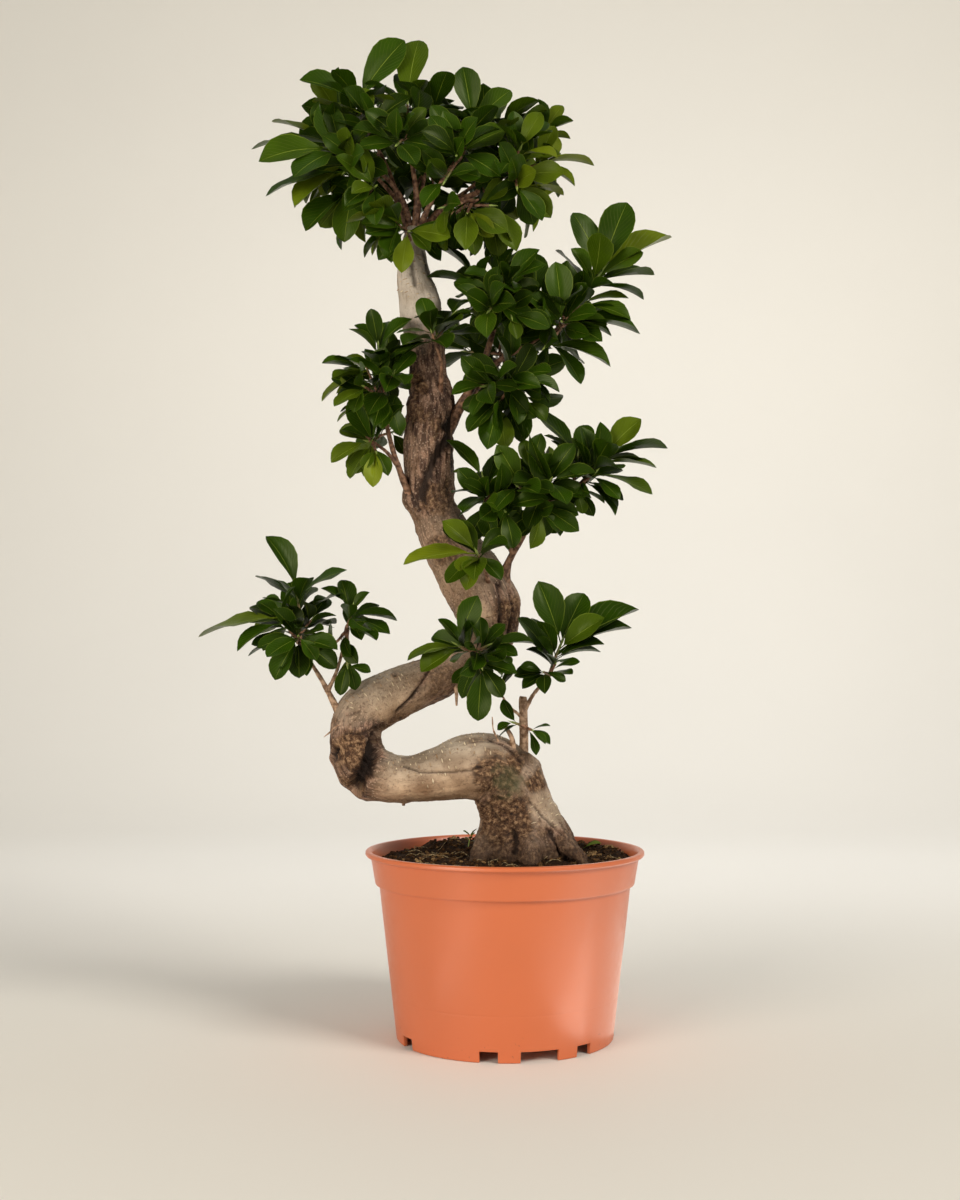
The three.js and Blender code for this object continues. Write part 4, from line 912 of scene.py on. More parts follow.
class FicusPotSizes(bpy.types.PropertyGroup):
    """The pot's look."""
    sides: IntProperty(name="Sides", description="Facets round the pot", default=144, min=48, max=256)
    mould_line: FloatProperty(name="Mould line", description="Height of the faint seam above the foot",
                              default=0.042, unit="LENGTH")
    edge: FloatProperty(name="Edge", description="Roundness of the moulded edges", default=0.0006, unit="LENGTH")
    colour: FloatVectorProperty(name="Plastic", description="Colour of the plastic", subtype="COLOR", size=3,
                                min=0, max=1, default=colour("#cf6a3a")[:3])


class FicusSoilSizes(bpy.types.PropertyGroup):
    """The soil's level and looseness."""
    top: FloatProperty(name="Level", description="Height of the soil's surface", default=0.168, unit="LENGTH")
    crumble: FloatProperty(name="Crumble", description="Height of the crumbs in the surface", default=0.0018,
                           unit="LENGTH")
    crumbs: IntProperty(name="Crumbs", description="Loose crumbs on the surface", default=1300, min=0, max=4000)


class FicusTrunkSizes(bpy.types.PropertyGroup):
    """How finely the trunk is modelled, and how rough it is."""
    grain: FloatProperty(name="Grain", description="Edge of the trunk's facets", default=0.00165, unit="LENGTH")
    ripple: FloatProperty(name="Ripple", description="Height of the long swellings", default=0.0015, unit="LENGTH")
    cork: FloatProperty(name="Cork", description="Height of the rough bark", default=0.0009, unit="LENGTH")
    pore_draws: IntProperty(name="Pore draws", description="Places that are tried for a pore", default=9500, min=0)


class FicusLeafSizes(bpy.types.PropertyGroup):
    """The leaves that are added to those of the frame."""
    shoot_leaves: IntProperty(name="Leaves to a shoot", description="Leaves that a full shoot carries", default=11)
    clearance: FloatProperty(name="Clearance", description="Least space between two blades", default=0.003,
                             unit="LENGTH")
    thickness: FloatProperty(name="Thickness", description="Thickness of a blade", default=0.0005, unit="LENGTH")
    seed: IntProperty(name="Seed", description="Start of the draws for leaves and litter", default=7)


class FicusStageSizes(bpy.types.PropertyGroup):
    """The floor, lights and camera."""
    floor_colour: FloatVectorProperty(name="Floor", description="Colour of the floor", subtype="COLOR", size=3,
                                      min=0, max=1, default=colour("#ebe8df")[:3])
    key_power: FloatProperty(name="Key light", description="Power of the large soft light", default=152)
    lens: FloatProperty(name="Lens", description="Focal length in millimetres", default=43.5)


class FICUS_OT_pot(bpy.types.Operator):
    """Turn the pot with its beaded rim and band, cut its notches and drain holes, and round its edges"""
    bl_idname = "ficus.pot"
    bl_label = "Pot"

    def execute(self, context):
        sizes = context.scene.ficus_pot
        line = sizes.mould_line / MM
        wall = [(FOOT_RADIUS + WALL_SLOPE * (line + z) - dent, line + z) for z, dent in MOULD_DENTS]
        wall = [(FOOT_RADIUS + WALL_SLOPE * WALL_FOOT, WALL_FOOT), *wall]
        pot = turned_shell("pot_shell", [*POT_FOOT, *wall, *POT_BAND, *POT_BEAD, *POT_INSIDE], sizes.sides)
        cutters = []
        for azimuth, width in NOTCHES:
            turn = math.radians(azimuth)
            place = Vector((math.sin(turn), -math.cos(turn), 0)) * NOTCH_REACH * MM
            height = (NOTCH_TOP - NOTCH_HIGH / 2) * MM
            deselect_all()
            bpy.ops.mesh.primitive_cube_add(size=1, location=(*place[:2], height), rotation=(0, 0, turn),
                                            scale=(width * MM, NOTCH_DEEP * MM, NOTCH_HIGH * MM))
            cutters.append(context.object)
        for i in range(DRAINS):
            turn = i * 2 * math.pi / DRAINS
            place = (DRAIN_REACH * MM * math.cos(turn), DRAIN_REACH * MM * math.sin(turn), DRAIN_MIDDLE * MM)
            deselect_all()
            bpy.ops.mesh.primitive_cylinder_add(vertices=20, radius=DRAIN_RADIUS * MM, depth=DRAIN_LONG * MM,
                                                location=place)
            cutters.append(context.object)
        cutter = join("notches", cutters)
        apply_modifier(pot, "BOOLEAN", object=cutter, operation="DIFFERENCE", solver="EXACT", use_self=False)
        bpy.data.objects.remove(cutter)
        apply_modifier(pot, "BEVEL", width=sizes.edge, segments=2, limit_method="ANGLE",
                       angle_limit=math.radians(40), use_clamp_overlap=True)
        dress(pot, moulded_polypropylene())
        bpy.ops.object.shade_smooth_by_angle(angle=math.radians(38))
        hand_over(pot, "pot_plastic", "pot")
        return {"FINISHED"}


class FICUS_OT_soil_bed(bpy.types.Operator):
    """Lay the soil as a round bed with an uneven, crumbly surface"""
    bl_idname = "ficus.soil_bed"
    bl_label = "Soil bed"

    def execute(self, context):
        top = context.scene.ficus_soil.top / MM
        rings = [(SOIL_RADIUS * (i / SOIL_RINGS) ** 0.8 + 0.5, top) for i in range(SOIL_RINGS)]
        underside = [(SOIL_RADIUS, top), (124.6, top - 6), (120, top - 20), (118, 140), (60, 138), (8, 138)]
        bed = turned_shell("soil_bed", rings + underside, sides=180)
        places = points_of(bed.data)
        surface = np.abs(places[:, 2] - top * MM) < 1e-6
        for i in np.flatnonzero(surface):
            x, y = places[i, :2] / MM
            drop = 1.5 * max(0.0, (math.hypot(x, y) - 112) / 14) ** 2
            places[i, 2] = (soil_height(x, y) - drop) * MM
        set_points(bed.data, places)
        dress(bed, damp_peat())
        hand_over(bed, "soil", "soil")
        return {"FINISHED"}


class FICUS_OT_soil_litter(bpy.types.Operator):
    """Strew crumbs, bark bits and pale fibres over the soil"""
    bl_idname = "ficus.soil_litter"
    bl_label = "Soil litter"

    def execute(self, context):
        draws = random.Random(context.scene.ficus_leaf.seed)
        crumb_models = [crumb_model(f"crumb_model_{i}", draws) for i in range(5)]
        peat = crumb_peat("broken_peat", "#2a1a0c", "#5f4224")
        bark = crumb_peat("bark_bits", "#6a4b2a", "#a8875a")
        for model in crumb_models:
            model.data.materials.append(peat)
            model.data.materials.append(bark)
        copies = []
        for _ in range(context.scene.ficus_soil.crumbs):
            x, y = strewn_place(draws, CRUMB_REACH)
            is_bark = draws.random() < BARK_SHARE
            size = draws.uniform(*CRUMB_SIZE) * (BARK_LARGER if is_bark else 1)
            stretch = (1.9, 0.9, 0.5) if is_bark else (1, draws.uniform(0.7, 1), draws.uniform(0.6, 0.9))
            turned = Matrix.LocRotScale(
                Vector((x, y, soil_height(x, y) + size * 0.25)) * MM,
                Euler((draws.uniform(-0.6, 0.6), draws.uniform(-0.6, 0.6), draws.uniform(0, 6.28))),
                Vector(stretch) * size * MM,
            )
            copy = placed_copy(draws.choice(crumb_models), turned, draws.random())
            if is_bark:
                set_faces(copy.data, "material_index", 1)
            copies.append(copy)
        litter = join("soil_crumbs", copies)
        choose(litter)
        bpy.ops.object.shade_flat()
        hand_over(litter, "soil", "soil")
        for model in crumb_models:
            bpy.data.objects.remove(model)

        fibres = []
        for _ in range(FIBRES):
            place = Vector((*strewn_place(draws, FIBRE_REACH), 0))
            heading = draws.uniform(0, 2 * math.pi)
            bend = draws.uniform(-0.5, 0.5)
            line = []
            for k in range(FIBRE_STEPS + 1):
                height = soil_height(place.x, place.y) + 1.2 + 1.5 * math.sin(k * math.pi / FIBRE_STEPS)
                line.append((Vector((place.x, place.y, height)) * MM, draws.uniform(*FIBRE_RADIUS) * MM))
                place = place + Vector((math.cos(heading), math.sin(heading), 0)) * FIBRE_STEP
                heading += bend
            fibres.append(line)
        straw = rods("soil_fibres", fibres, roundness=0)
        set_tone(straw.data, 0.8)
        straw.data.materials.append(crumb_peat("dry_fibre", "#8a7350", "#c0aa80"))
        hand_over(straw, "soil", "soil")
        return {"FINISHED"}


def strewn_place(draws, radius):
    """A random place in a circle."""
    reach = radius * math.sqrt(draws.random())
    turn = draws.uniform(0, 2 * math.pi)
    return reach * math.cos(turn), reach * math.sin(turn)


def crumb_model(name, draws):
    """A ragged crumb of unit size."""
    deselect_all()
    bpy.ops.mesh.primitive_ico_sphere_add(subdivisions=1, radius=1)
    crumb = bpy.context.object
    with editing():
        bpy.ops.transform.vertex_random(offset=0.35, seed=draws.randrange(1000))
    crumb.name = name
    set_tone(crumb.data, 0.5)
    return crumb


def placed_copy(model, matrix, tone):
    """A copy of a model with a mesh of its own, moved there, and with its own tone."""
    copy = model.copy()
    copy.data = model.data.copy()
    copy.data.transform(matrix)
    bpy.context.scene.collection.objects.link(copy)
    set_tone(copy.data, tone)
    return copy


class FICUS_OT_trunk(bpy.types.Operator):
    """Grow the trunk and its roots as one skin, then carve its furrows, scars and knots"""
    bl_idname = "ficus.trunk"
    bl_label = "Trunk"

    def execute(self, context):
        sizes = context.scene.ficus_trunk
        stem = smooth_line(TRUNK, STEM_STEPS)
        roots = [smooth_line(rows, STEM_STEPS) for rows in ROOTS]
        trunk = rods("trunk_bark", [stem, *roots], roundness=10)
        apply_modifier(trunk, "REMESH", mode="VOXEL", voxel_size=sizes.grain, use_smooth_shade=True)
        apply_modifier(trunk, "SMOOTH", factor=0.5, iterations=8)
        carve_bark(trunk.data, stem, sizes)
        dress(trunk, ficus_bark())
        hand_over(trunk, "bark", "trunk")
        return {"FINISHED"}


def stem_frames(stem):
    """Along the stem: places, lengths so far, directions, and two sides square to it that turn very little."""
    places = np.array([place for place, _ in stem])
    steps = np.diff(places, axis=0)
    lengths = np.concatenate([[0], np.cumsum(np.linalg.norm(steps, axis=1))])
    ahead = np.gradient(places, axis=0)
    ahead /= np.linalg.norm(ahead, axis=1)[:, None]
    side = np.cross(ahead[0], (0.0, 1.0, 0.0))
    sides = []
    for direction in ahead:
        side = side - direction * (side @ direction)
        side = side / np.linalg.norm(side)
        sides.append(side)
    sides = np.array(sides)
    return places, lengths, ahead, sides, np.cross(ahead, sides)


def distance_to(spots, middle):
    """How far each spot lies from a place, on the flat picture, in millimetres."""
    return np.hypot(*(spots - np.array(middle)).T)


def distance_to_line(spots, line):
    """How far each spot lies from a bent line, on the flat picture, in millimetres."""
    nearest = np.full(len(spots), 1e9)
    for start, end in zip(line, line[1:]):
        start, end = np.array(start, float), np.array(end, float)
        way = end - start
        part = np.clip((spots - start) @ way / (way @ way), 0, 1)
        nearest = np.minimum(nearest, np.linalg.norm(spots - (start + part[:, None] * way), axis=1))
    return nearest


def carve_bark(mesh, stem, sizes):
    """Moves the trunk's skin along its normals, and stores where it lies along the stem and which marks it has."""
    places = points_of(mesh)
    normals = normals_of(mesh)
    line, lengths, ahead, sides, others = stem_frames(stem)
    tree = tree_of(line)
    nearest = np.array([tree.find(place)[1] for place in places])
    arms = places - line[nearest]
    straight = np.stack([(arms * sides[nearest]).sum(1), (arms * others[nearest]).sum(1),
                         lengths[nearest] + (arms * ahead[nearest]).sum(1)], axis=1)
    seen = as_seen(places)
    wander = noise_at(straight, millimetres=7, octaves=3)
    patchy = noise_at(straight, millimetres=12, octaves=3)
    facing, averted = (np.clip(way * 2.5 * normals[:, 1], 0, 1) for way in (-1, 1))

    # A furrow is a steep trough with a low lip, darkened at the bottom with painted shade and ringed with a brown
    # # painted shadow. A scar is rough alone. A knot is a ring with a dip inside, rough too. All depths are in
    # millimetres.
    rough, furrow_shade, cut, furrow_shadow, bulge = np.zeros((5, len(places)))
    for table, turned in ((FURROWS, facing), (BACK_FURROWS, averted)):
        for points, width, depth in table:
            away = np.abs(distance_to_line(seen, points) + 0.3 * width * wander)
            shape = turned / (1 + (away / (width * 0.55)) ** 7)
            cut = np.maximum(cut, depth * shape)
            furrow_shade = np.maximum(furrow_shade, np.clip(shape * min(depth / 3.2, 1.25) - 0.18, 0, 1))
            furrow_shadow = np.maximum(furrow_shadow, bell(away / (width * 1.5)) * turned * min(1, depth / 4))
            cut = cut - 0.2 * depth * bell((away - width * 1.3) / (width * 0.7)) * turned
    for middle, reach, height in SCARS:
        patch = np.clip((reach - distance_to(seen, middle) - 7 * patchy) / (0.35 * reach), 0, 1) * facing
        rough = np.maximum(rough, patch * min(1, 0.35 + height / 2.4))
    for middle, reach, depth in KNOTS:
        away = distance_to(seen, middle) / reach
        ring = bell((away - 1.25) / 0.45) - bell(away / 0.7)
        cut = cut - depth * 0.8 * ring * facing
        rough = np.maximum(rough, bell(away / 1.3) * facing * 0.8)
    middle, reach = GREEN_PLACE
    green = np.clip((reach - distance_to(seen, middle) + 9 * wander) / 12, 0, 1) * facing
    for place, reach, height in KNOBS:
        bulge += height * bell(np.linalg.norm(places - np.array(in_space(place)), axis=1) / (reach * MM))

    # Brown and rough parts: by the height along the trunk, in old patches and at the foot, but not in the places
    # that
    # # are kept smooth. The brown round the furrows and on under sides is painted shade.
    brown = np.interp(nearest / STEM_STEPS, np.arange(len(BROWNNESS_AND_SHADE)), BROWNNESS_AND_SHADE)
    # Painted shade: more brown round the furrows and on faces turned down.
    brown = np.clip(brown + 0.45 * furrow_shadow + 0.35 * np.clip(-normals[:, 2] - 0.2, 0, 1), 0, 1)
    old = np.clip(noise_at(straight, millimetres=26, octaves=3) * 1.6 - 0.45, 0, 1)
    base = np.clip((212 - places[:, 2] / MM) / 34 + 0.5 * patchy, 0, 1)
    rough = np.clip(np.maximum(rough, np.maximum(old * 0.8, base * 0.8)), 0, 1)
    for middle, reach in SMOOTH_PLACES:
        away = distance_to(seen, middle) / reach + 0.3 * patchy
        spared = 1 - np.clip((1.2 - away) / 0.5, 0, 1) * facing
        rough = rough * spared
        brown = brown * (0.35 + 0.65 * spared)

    # The relief: long swellings, seams that run along the stem, small cork, and lumps on the rough parts. All but
    # the lumps are drawn out along the stem.
    swell = noise_at(straight * (1, 1, 0.3), millimetres=17, octaves=2) * sizes.ripple * (1 + brown)
    seams = 0.3 - np.abs(noise_at(straight * (1, 1, 0.14), millimetres=9, octaves=3))
    seams = np.clip(seams / 0.3, 0, 1) ** 3 * sizes.ripple * (0.15 + 1.5 * brown ** 2)
    cork = noise_at(straight * (1, 1, 0.55), millimetres=4, octaves=4) * sizes.cork
    cork *= 0.3 + 1.5 * rough + 0.6 * brown
    lumps = patchy * sizes.cork * 2.4 * rough
    move = swell - seams + cork + lumps + (bulge - cut) * MM
    set_points(mesh, places + normals * move[:, None])

    store(mesh, "brown", "FLOAT", "value", brown)
    store(mesh, "straight", "FLOAT_VECTOR", "vector", straight)
    # The fourth mark is painted sky light: it grows on faces turned up, which the bark's material tints a cool
    # grey.
    marks = np.stack([rough, np.clip(furrow_shade, 0, 1), green, np.clip(0.4 + 0.8 * normals[:, 2], 0, 1)], axis=1)
    store(mesh, "marks", "FLOAT_COLOR", "color", marks)


class FICUS_OT_pores(bpy.types.Operator):
    """Set raised cream pores where the trunk isn't rough, each a short dash that runs round the stem"""
    bl_idname = "ficus.pores"
    bl_label = "Bark pores"

    def execute(self, context):
        draws = random.Random(context.scene.ficus_leaf.seed + 1)
        mesh = bpy.data.objects["trunk_bark"].data
        places = points_of(mesh)
        normals = normals_of(mesh)
        brown = read(mesh.attributes["brown"].data, "value", 1)[:, 0]
        rough, furrow_shade = read(mesh.attributes["marks"].data, "color", 4)[:, :2].T
        line, _, ahead, _, _ = stem_frames(smooth_line(TRUNK, STEM_STEPS))
        model = crumb_model("pore_model", draws)
        model.data.materials.append(cork_pore())
        crowd = noise_at(places, millimetres=22, octaves=2)
        copies = []
        taken = []
        for _ in range(context.scene.ficus_trunk.pore_draws):
            i = draws.randrange(len(places))
            if brown[i] > draws.uniform(*PORE_BROWN) or rough[i] > PORE_ROUGH or furrow_shade[i] > PORE_FURROW:
                continue
            if crowd[i] + 0.9 * normals[i, 2] < draws.uniform(*PORE_CROWD):
                continue
            place = Vector(places[i])
            if place.z < SOIL_LINE or any((place - other).length < PORE_SPACING for other in taken):
                continue
            taken.append(place)
            near = np.argmin(np.linalg.norm(line - places[i], axis=1))
            normal = Vector(normals[i])
            around = normal.cross(Vector(ahead[near])).normalized()
            size = draws.uniform(*PORE_LONG)
            columns = [around * size, around.cross(normal) * draws.uniform(*PORE_WIDE), normal * PORE_HIGH]
            matrix = matrix_of(*([part * MM for part in column] for column in columns), place)
            copies.append(placed_copy(model, matrix, draws.random() * (1 - 0.8 * brown[i])))
        pores = join("bark_pores", copies)
        with editing():
            bpy.ops.mesh.normals_make_consistent(inside=False)
        bpy.ops.object.shade_smooth()
        hand_over(pores, "bark", "trunk")
        bpy.data.objects.remove(model)
        return {"FINISHED"}


def noise_at(places, millimetres, octaves):
    """A smooth random field from about -1 to 1 with swells of that size."""
    scale = grain_scale(millimetres)
    return np.array([noise.fractal(Vector(place) * scale, 1.0, 2.0, octaves) for place in places])


class FICUS_OT_limbs(bpy.types.Operator):
    """Grow the bare limbs and the short stubs from the trunk"""
    bl_idname = "ficus.limbs"
    bl_label = "Limbs and stubs"

    def execute(self, context):
        lines = []
        for limb in LIMBS.values():
            line = smooth_line(limb["wood"], LIMB_STEPS, 0.5)
            lines.append([(place, radius * swelling(i, len(line))) for i, (place, radius) in enumerate(line)])
        limbs = rods("limb_bark", lines + [smooth_line(rows, STUB_STEPS) for rows in STUBS], roundness=3)
        ruffle(limbs.data, height=0.35)
        set_tone(limbs.data, np.clip(2.5 * points_of(limbs.data)[:, 2] - 0.9, 0, 0.25))
        dress(limbs, twig_bark())
        hand_over(limbs, "bark", "trunk")
        return {"FINISHED"}


def swelling(i, count):
    """A limb is thicker at its root and a little at its joints."""
    part = i / (count - 1)
    return 1 + 0.35 * math.exp(-part * 7) + 0.1 * math.sin(part * 19) ** 4


def ruffle(mesh, height):
    """Small bumps of that height in millimetres all over a piece of wood."""
    places = points_of(mesh)
    move = noise_at(places, millimetres=5, octaves=3) * height * MM
    set_points(mesh, places + normals_of(mesh) * move[:, None])


def leaf_model(name, arch, fold, twist, wave, point, thickness):
    """One leaf of unit length and half width, from its stalk's foot to its tip, arched along and folded across. It
    is the more pointed the more point is over 1. Its slots: upper side, under side, stalk."""
    deselect_all()
    bpy.ops.mesh.primitive_grid_add(x_subdivisions=len(BLADE_SHAPE) - 1, y_subdivisions=BLADE_COLUMNS, size=1)
    leaf = bpy.context.object
    mesh = leaf.data
    mesh.uv_layers[0].name = "blade"
    places = points_of(mesh)
    row = np.rint((places[:, 0] + 0.5) * (len(BLADE_SHAPE) - 1)).astype(int)
    side = np.rint(places[:, 1] * BLADE_COLUMNS) / (BLADE_COLUMNS / 2)
    along, wide = np.array(BLADE_SHAPE)[row].T
    wide = wide ** point
    x = STALK + (1 - STALK) * along
    spin = twist * (along - 0.5)
    lift = fold * np.abs(side) * wide + wave * np.sin(along * 9 + side) * np.abs(side) * wide
    shaped = np.stack([
        x,
        side * wide * np.cos(spin),
        4 * arch * x * (1 - x) + lift + side * wide * np.sin(spin) * 0.25,
    ], axis=1)
    set_points(mesh, shaped)
    with editing():
        bpy.ops.mesh.duplicate()
        bpy.ops.mesh.flip_normals()
    count = len(shaped)
    places = points_of(mesh)
    inner = (np.abs(side) < 0.75) & (along > 0) & (along < 1)
    places[count:, 2] -= np.where(inner, thickness, 0)
    set_points(mesh, places)
    for polygon in mesh.polygons:
        polygon.material_index = int(polygon.vertices[0] >= count)
    set_faces(mesh, "use_smooth", True)
    with editing():
        bpy.ops.mesh.remove_doubles(threshold=1e-5)

    bpy.ops.mesh.primitive_cylinder_add(vertices=5, radius=1, depth=1, end_fill_type="NOTHING",
                                        rotation=(0, math.pi / 2, 0))
    stalk = bpy.context.object
    bpy.ops.object.transform_apply(rotation=True)
    stalk.data.uv_layers[0].name = "blade"
    ring = points_of(stalk.data)
    x = np.where(ring[:, 0] > 0, STALK + 0.05, 0.0)
    height = ring[:, 2] * STALK_THICK + 4 * arch * x * (1 - x) - 0.004
    set_points(stalk.data, np.stack([x, ring[:, 1] * STALK_HALF, height], axis=1))
    set_faces(stalk.data, "use_smooth", True)
    set_faces(stalk.data, "material_index", 2)
    choose(leaf, stalk)
    for _ in range(3):
        mesh.materials.append(None)
        stalk.data.materials.append(None)
    bpy.ops.object.join()
    leaf = bpy.context.object
    leaf.name = name
    set_tone(leaf.data, 0.5)
    return leaf


def frame_blades(name):
    """The blades of a spray of the frame, read from the short posts round their rims: base, tip, face, half
    width."""
    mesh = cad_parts[name].data
    corners = points_of(mesh)
    triangles = np.array([polygon.vertices[:] for polygon in mesh.polygons])
    places, merged = np.unique(np.round(corners / MM, 3), axis=0, return_inverse=True)
    triangles = merged.reshape(-1)[triangles]
    edges = np.concatenate([triangles[:, pair] for pair in ([0, 1], [1, 2], [2, 0])])
    edges = np.unique(np.sort(edges, axis=1), axis=0)
    lengths = np.linalg.norm(places[edges[:, 0]] - places[edges[:, 1]], axis=1)
    posts = edges[np.abs(lengths - BLADE_THICK) < 0.006]
    posts_at = {}
    for i, ends in enumerate(posts):
        for end in ends:
            posts_at.setdefault(end, set()).add(i)
    beside = [set() for _ in posts]
    for triangle in triangles:
        at = [posts_at.get(corner, set()) for corner in triangle]
        for k in range(3):
            for i in at[k] & at[(k + 1) % 3]:
                for j in at[(k + 2) % 3] - {i}:
                    beside[i].add(j)
                    beside[j].add(i)
    middles = (places[posts[:, 0]] + places[posts[:, 1]]) / 2
    blades = []
    for i, (start, end) in enumerate(posts):
        if len(beside[i]) != 2:
            continue
        left, right = (middles[j] for j in beside[i])
        tip = middles[i]
        to_left, to_right = left - tip, right - tip
        if to_left @ to_right < -0.4 * np.linalg.norm(to_left) * np.linalg.norm(to_right):
            continue
        shoulder = (left + right) / 2
        face = (places[start] - places[end]) / np.linalg.norm(places[start] - places[end])
        face = face if (shoulder - tip) @ face > 0 else -face
        rest = 1 - BLADE_ALONG
        length = np.linalg.norm(tip - shoulder) / math.hypot(rest, BLADE_RISE)
        along = (tip - shoulder + face * BLADE_RISE * length) / (rest * length)
        half = np.linalg.norm(left - right) / 2 / BLADE_WIDE
        base = tip - along * length
        blades.append((Vector(base) * MM, Vector(tip) * MM, Vector(face), half * MM))
    return blades


def leaf_matrix(base, tip, face, half):
    """Takes a leaf model to its place."""
    along = tip - base
    length = along.length
    along = along.normalized()
    up = (face - along * face.dot(along)).normalized()
    across = up.cross(along)
    return matrix_of(along * length, across * half, up * length, base)


def outline_points(base, tip, face, half):
    """A few points of a blade, for telling whether another one is too near."""
    matrix = leaf_matrix(base, tip, face, half)
    spots = ((0.3, 0, 0.05), (0.5, 0.8, 0.06), (0.5, -0.8, 0.06), (0.75, 0, 0.05), (0.82, 0.6, 0.03),
             (0.82, -0.6, 0.03), (1, 0, 0))
    return [matrix @ Vector(spot) for spot in spots]


def spur_of(limb):
    """The spur that goes on from a limb's end: its start, and the way from one shoot to the next."""
    before, start = (in_space(row) for row in limb["wood"][-2:])
    return start, (start - before).normalized() * SHOOT_SPACING * MM


def shoot_lines(limb):
    """Each shoot of a limb: its start on the spur, its tip and the usual length of its leaves, in metres."""
    start, ahead = spur_of(limb)
    rows = (*limb["tips"], *limb.get("hanging", ()))
    return [(start + ahead * (i + 0.7), in_space(row), row[3] * MM) for i, row in enumerate(rows)]


def further_blades(shoot, near, count, taken, wood, draws, clearance):
    """Leaves between and below those that a shoot has: each the first of some places that is clear."""
    start, tip, size = shoot
    line = (tip - start).normalized()
    side = Vector((0.31, 0.2, 0.77)).cross(line).normalized()
    other = line.cross(side)
    turn = draws.uniform(0, 2 * math.pi)
    added = []
    for i in range(count):
        back = min((FIRST_LEAF + LEAF_STEP * (i + 0.4 * near)) * MM, (tip - start).length * 0.75)
        base = tip - line * back
        for attempt in range(LEAF_TRIES):
            angle = turn + math.radians(LEAF_TURN) * (i + attempt * 1.7)
            tilt = math.radians(draws.uniform(*LEAF_TILT) + 6 * i)
            length = size * draws.uniform(*LEAF_LENGTH)
            out = side * math.cos(angle) + other * math.sin(angle)
            along = line * math.cos(tilt) + out * math.sin(tilt)
            end = base + along * length
            face = line * math.sin(tilt) - out * math.cos(tilt) + Vector((0, -0.25, 0.85))
            blade = (base, end, face, length * draws.uniform(*LEAF_HALF))
            points = outline_points(*blade)
            if hides_wood(points) or not all(clear_of(p, wood) for p in points):
                continue
            if all((p - q).length > clearance for p in points for q in taken):
                taken.extend(points)
                added.append(blade)
                break
    return added


def hides_wood(points):
    """Whether a blade would hide wood that shows between the leaves."""
    seen = as_seen(np.array(points))
    return any((distance_to(seen, middle) < reach).any() and points[0].y < depth * MM
               for middle, reach, depth in OPEN_PLACES)


def clear_of(point, wood):
    """Whether a point is outside the trunk."""
    tree, radii = wood
    _, i, distance = tree.find(point)
    return distance > radii[i] + 3 * MM


class FICUS_OT_sprays(bpy.types.Operator):
    """Grow the leafy shoots of every limb: twigs, leaves where the frame has its blades, more leaves, and buds"""
    bl_idname = "ficus.sprays"
    bl_label = "Leafy sprays"

    def execute(self, context):
        sizes = context.scene.ficus_leaf
        draws = random.Random(sizes.seed)
        models = leaf_models(sizes.thickness)
        bud = bud_model()
        places, radii = zip(*smooth_line(TRUNK, STEM_STEPS))
        wood = (tree_of(places), radii)
        blades = {name: frame_blades(name) for name in SPRAYS}
        tiers = {}
        for name, row in blades.items():
            tiers.setdefault(tier_of(name), []).extend(tip for _, tip, _, _ in row)
        middles = {tier: sum(tips, Vector()) / len(tips) for tier, tips in tiers.items()}
        reaches = {tier: max((tip - middles[tier]).length for tip in tips) for tier, tips in tiers.items()}
        taken = [point for row in blades.values() for blade in row for point in outline_points(*blade)]
        for name in SPRAYS:
            limb = LIMBS[name.removeprefix("spray_")]
            parts = []
            lines = []
            for shoot in shoot_lines(limb):
                start, tip, size = shoot
                own = [b for b in blades[name] if off_line(b[0], start, tip) < OWN_REACH * MM]
                full = sizes.shoot_leaves if size > SHORT_LEAF * MM else sizes.shoot_leaves // 2
                missing = max(0, full - len(own))
                near = [p for p in taken if (p - tip).length < CROWD_REACH * MM]
                before = len(near)
                added = further_blades(shoot, len(own), missing, near, wood, draws, sizes.clearance)
                taken.extend(near[before:])
                blades[name].extend(added)
                lines.append(twig_line(start, tip, draws))
                ahead = (tip - start).normalized()
                matrix = Matrix.LocRotScale(tip - ahead * MM, ahead.to_track_quat("Z", "X"),
                                            Vector((1, 1, 1)) * size / 48 / MM)
                parts.append(placed_copy(bud, matrix, 0.5))
            lines.append(spur_line(limb))
            twigs = rods("twigs", lines, roundness=1)
            set_tone(twigs.data, twig_tones(twigs.data, limb))
            twigs.data.materials.append(bud.data.materials[1])
            for base, tip, face, half in blades[name]:
                tier = tier_of(name)
                # Painted light and shade: a paler green for leaves at a tier's outside, a deep one for those
                # inside.
                lit_outside = min(1, (tip - middles[tier]).length / reaches[tier])
                rise = LOW_LIGHT_RISE if tier.startswith("low") else HIGH_LIGHT_RISE
                tone = min(1, max(0, draws.gauss(SHADED_INNER_TONE + rise * lit_outside ** 2, TONE_SPREAD)))
                parts.append(placed_copy(draws.choice(models), leaf_matrix(base, tip, face, half), tone))
            spray = join(name + "_leaves", [parts[-1], *parts[:-1], twigs])
            set_faces(spray.data, "use_smooth", True)
            choose(spray)
            bpy.ops.object.shade_smooth_by_angle(angle=math.radians(60))
            hand_over(spray, "leaf", name)
        for model in [*models, bud]:
            bpy.data.objects.remove(model)
        return {"FINISHED"}


def tier_of(name):
    """The tier of leaves that a spray belongs to."""
    return next(tier for tier in ("crown", "tier_two", "tier_three", "low_left", "low") if tier in name)


def off_line(point, start, tip):
    """How far a point lies from the line of a shoot."""
    way = tip - start
    part = min(1, max(0, (point - start).dot(way) / way.length_squared))
    return (point - start - way * part).length


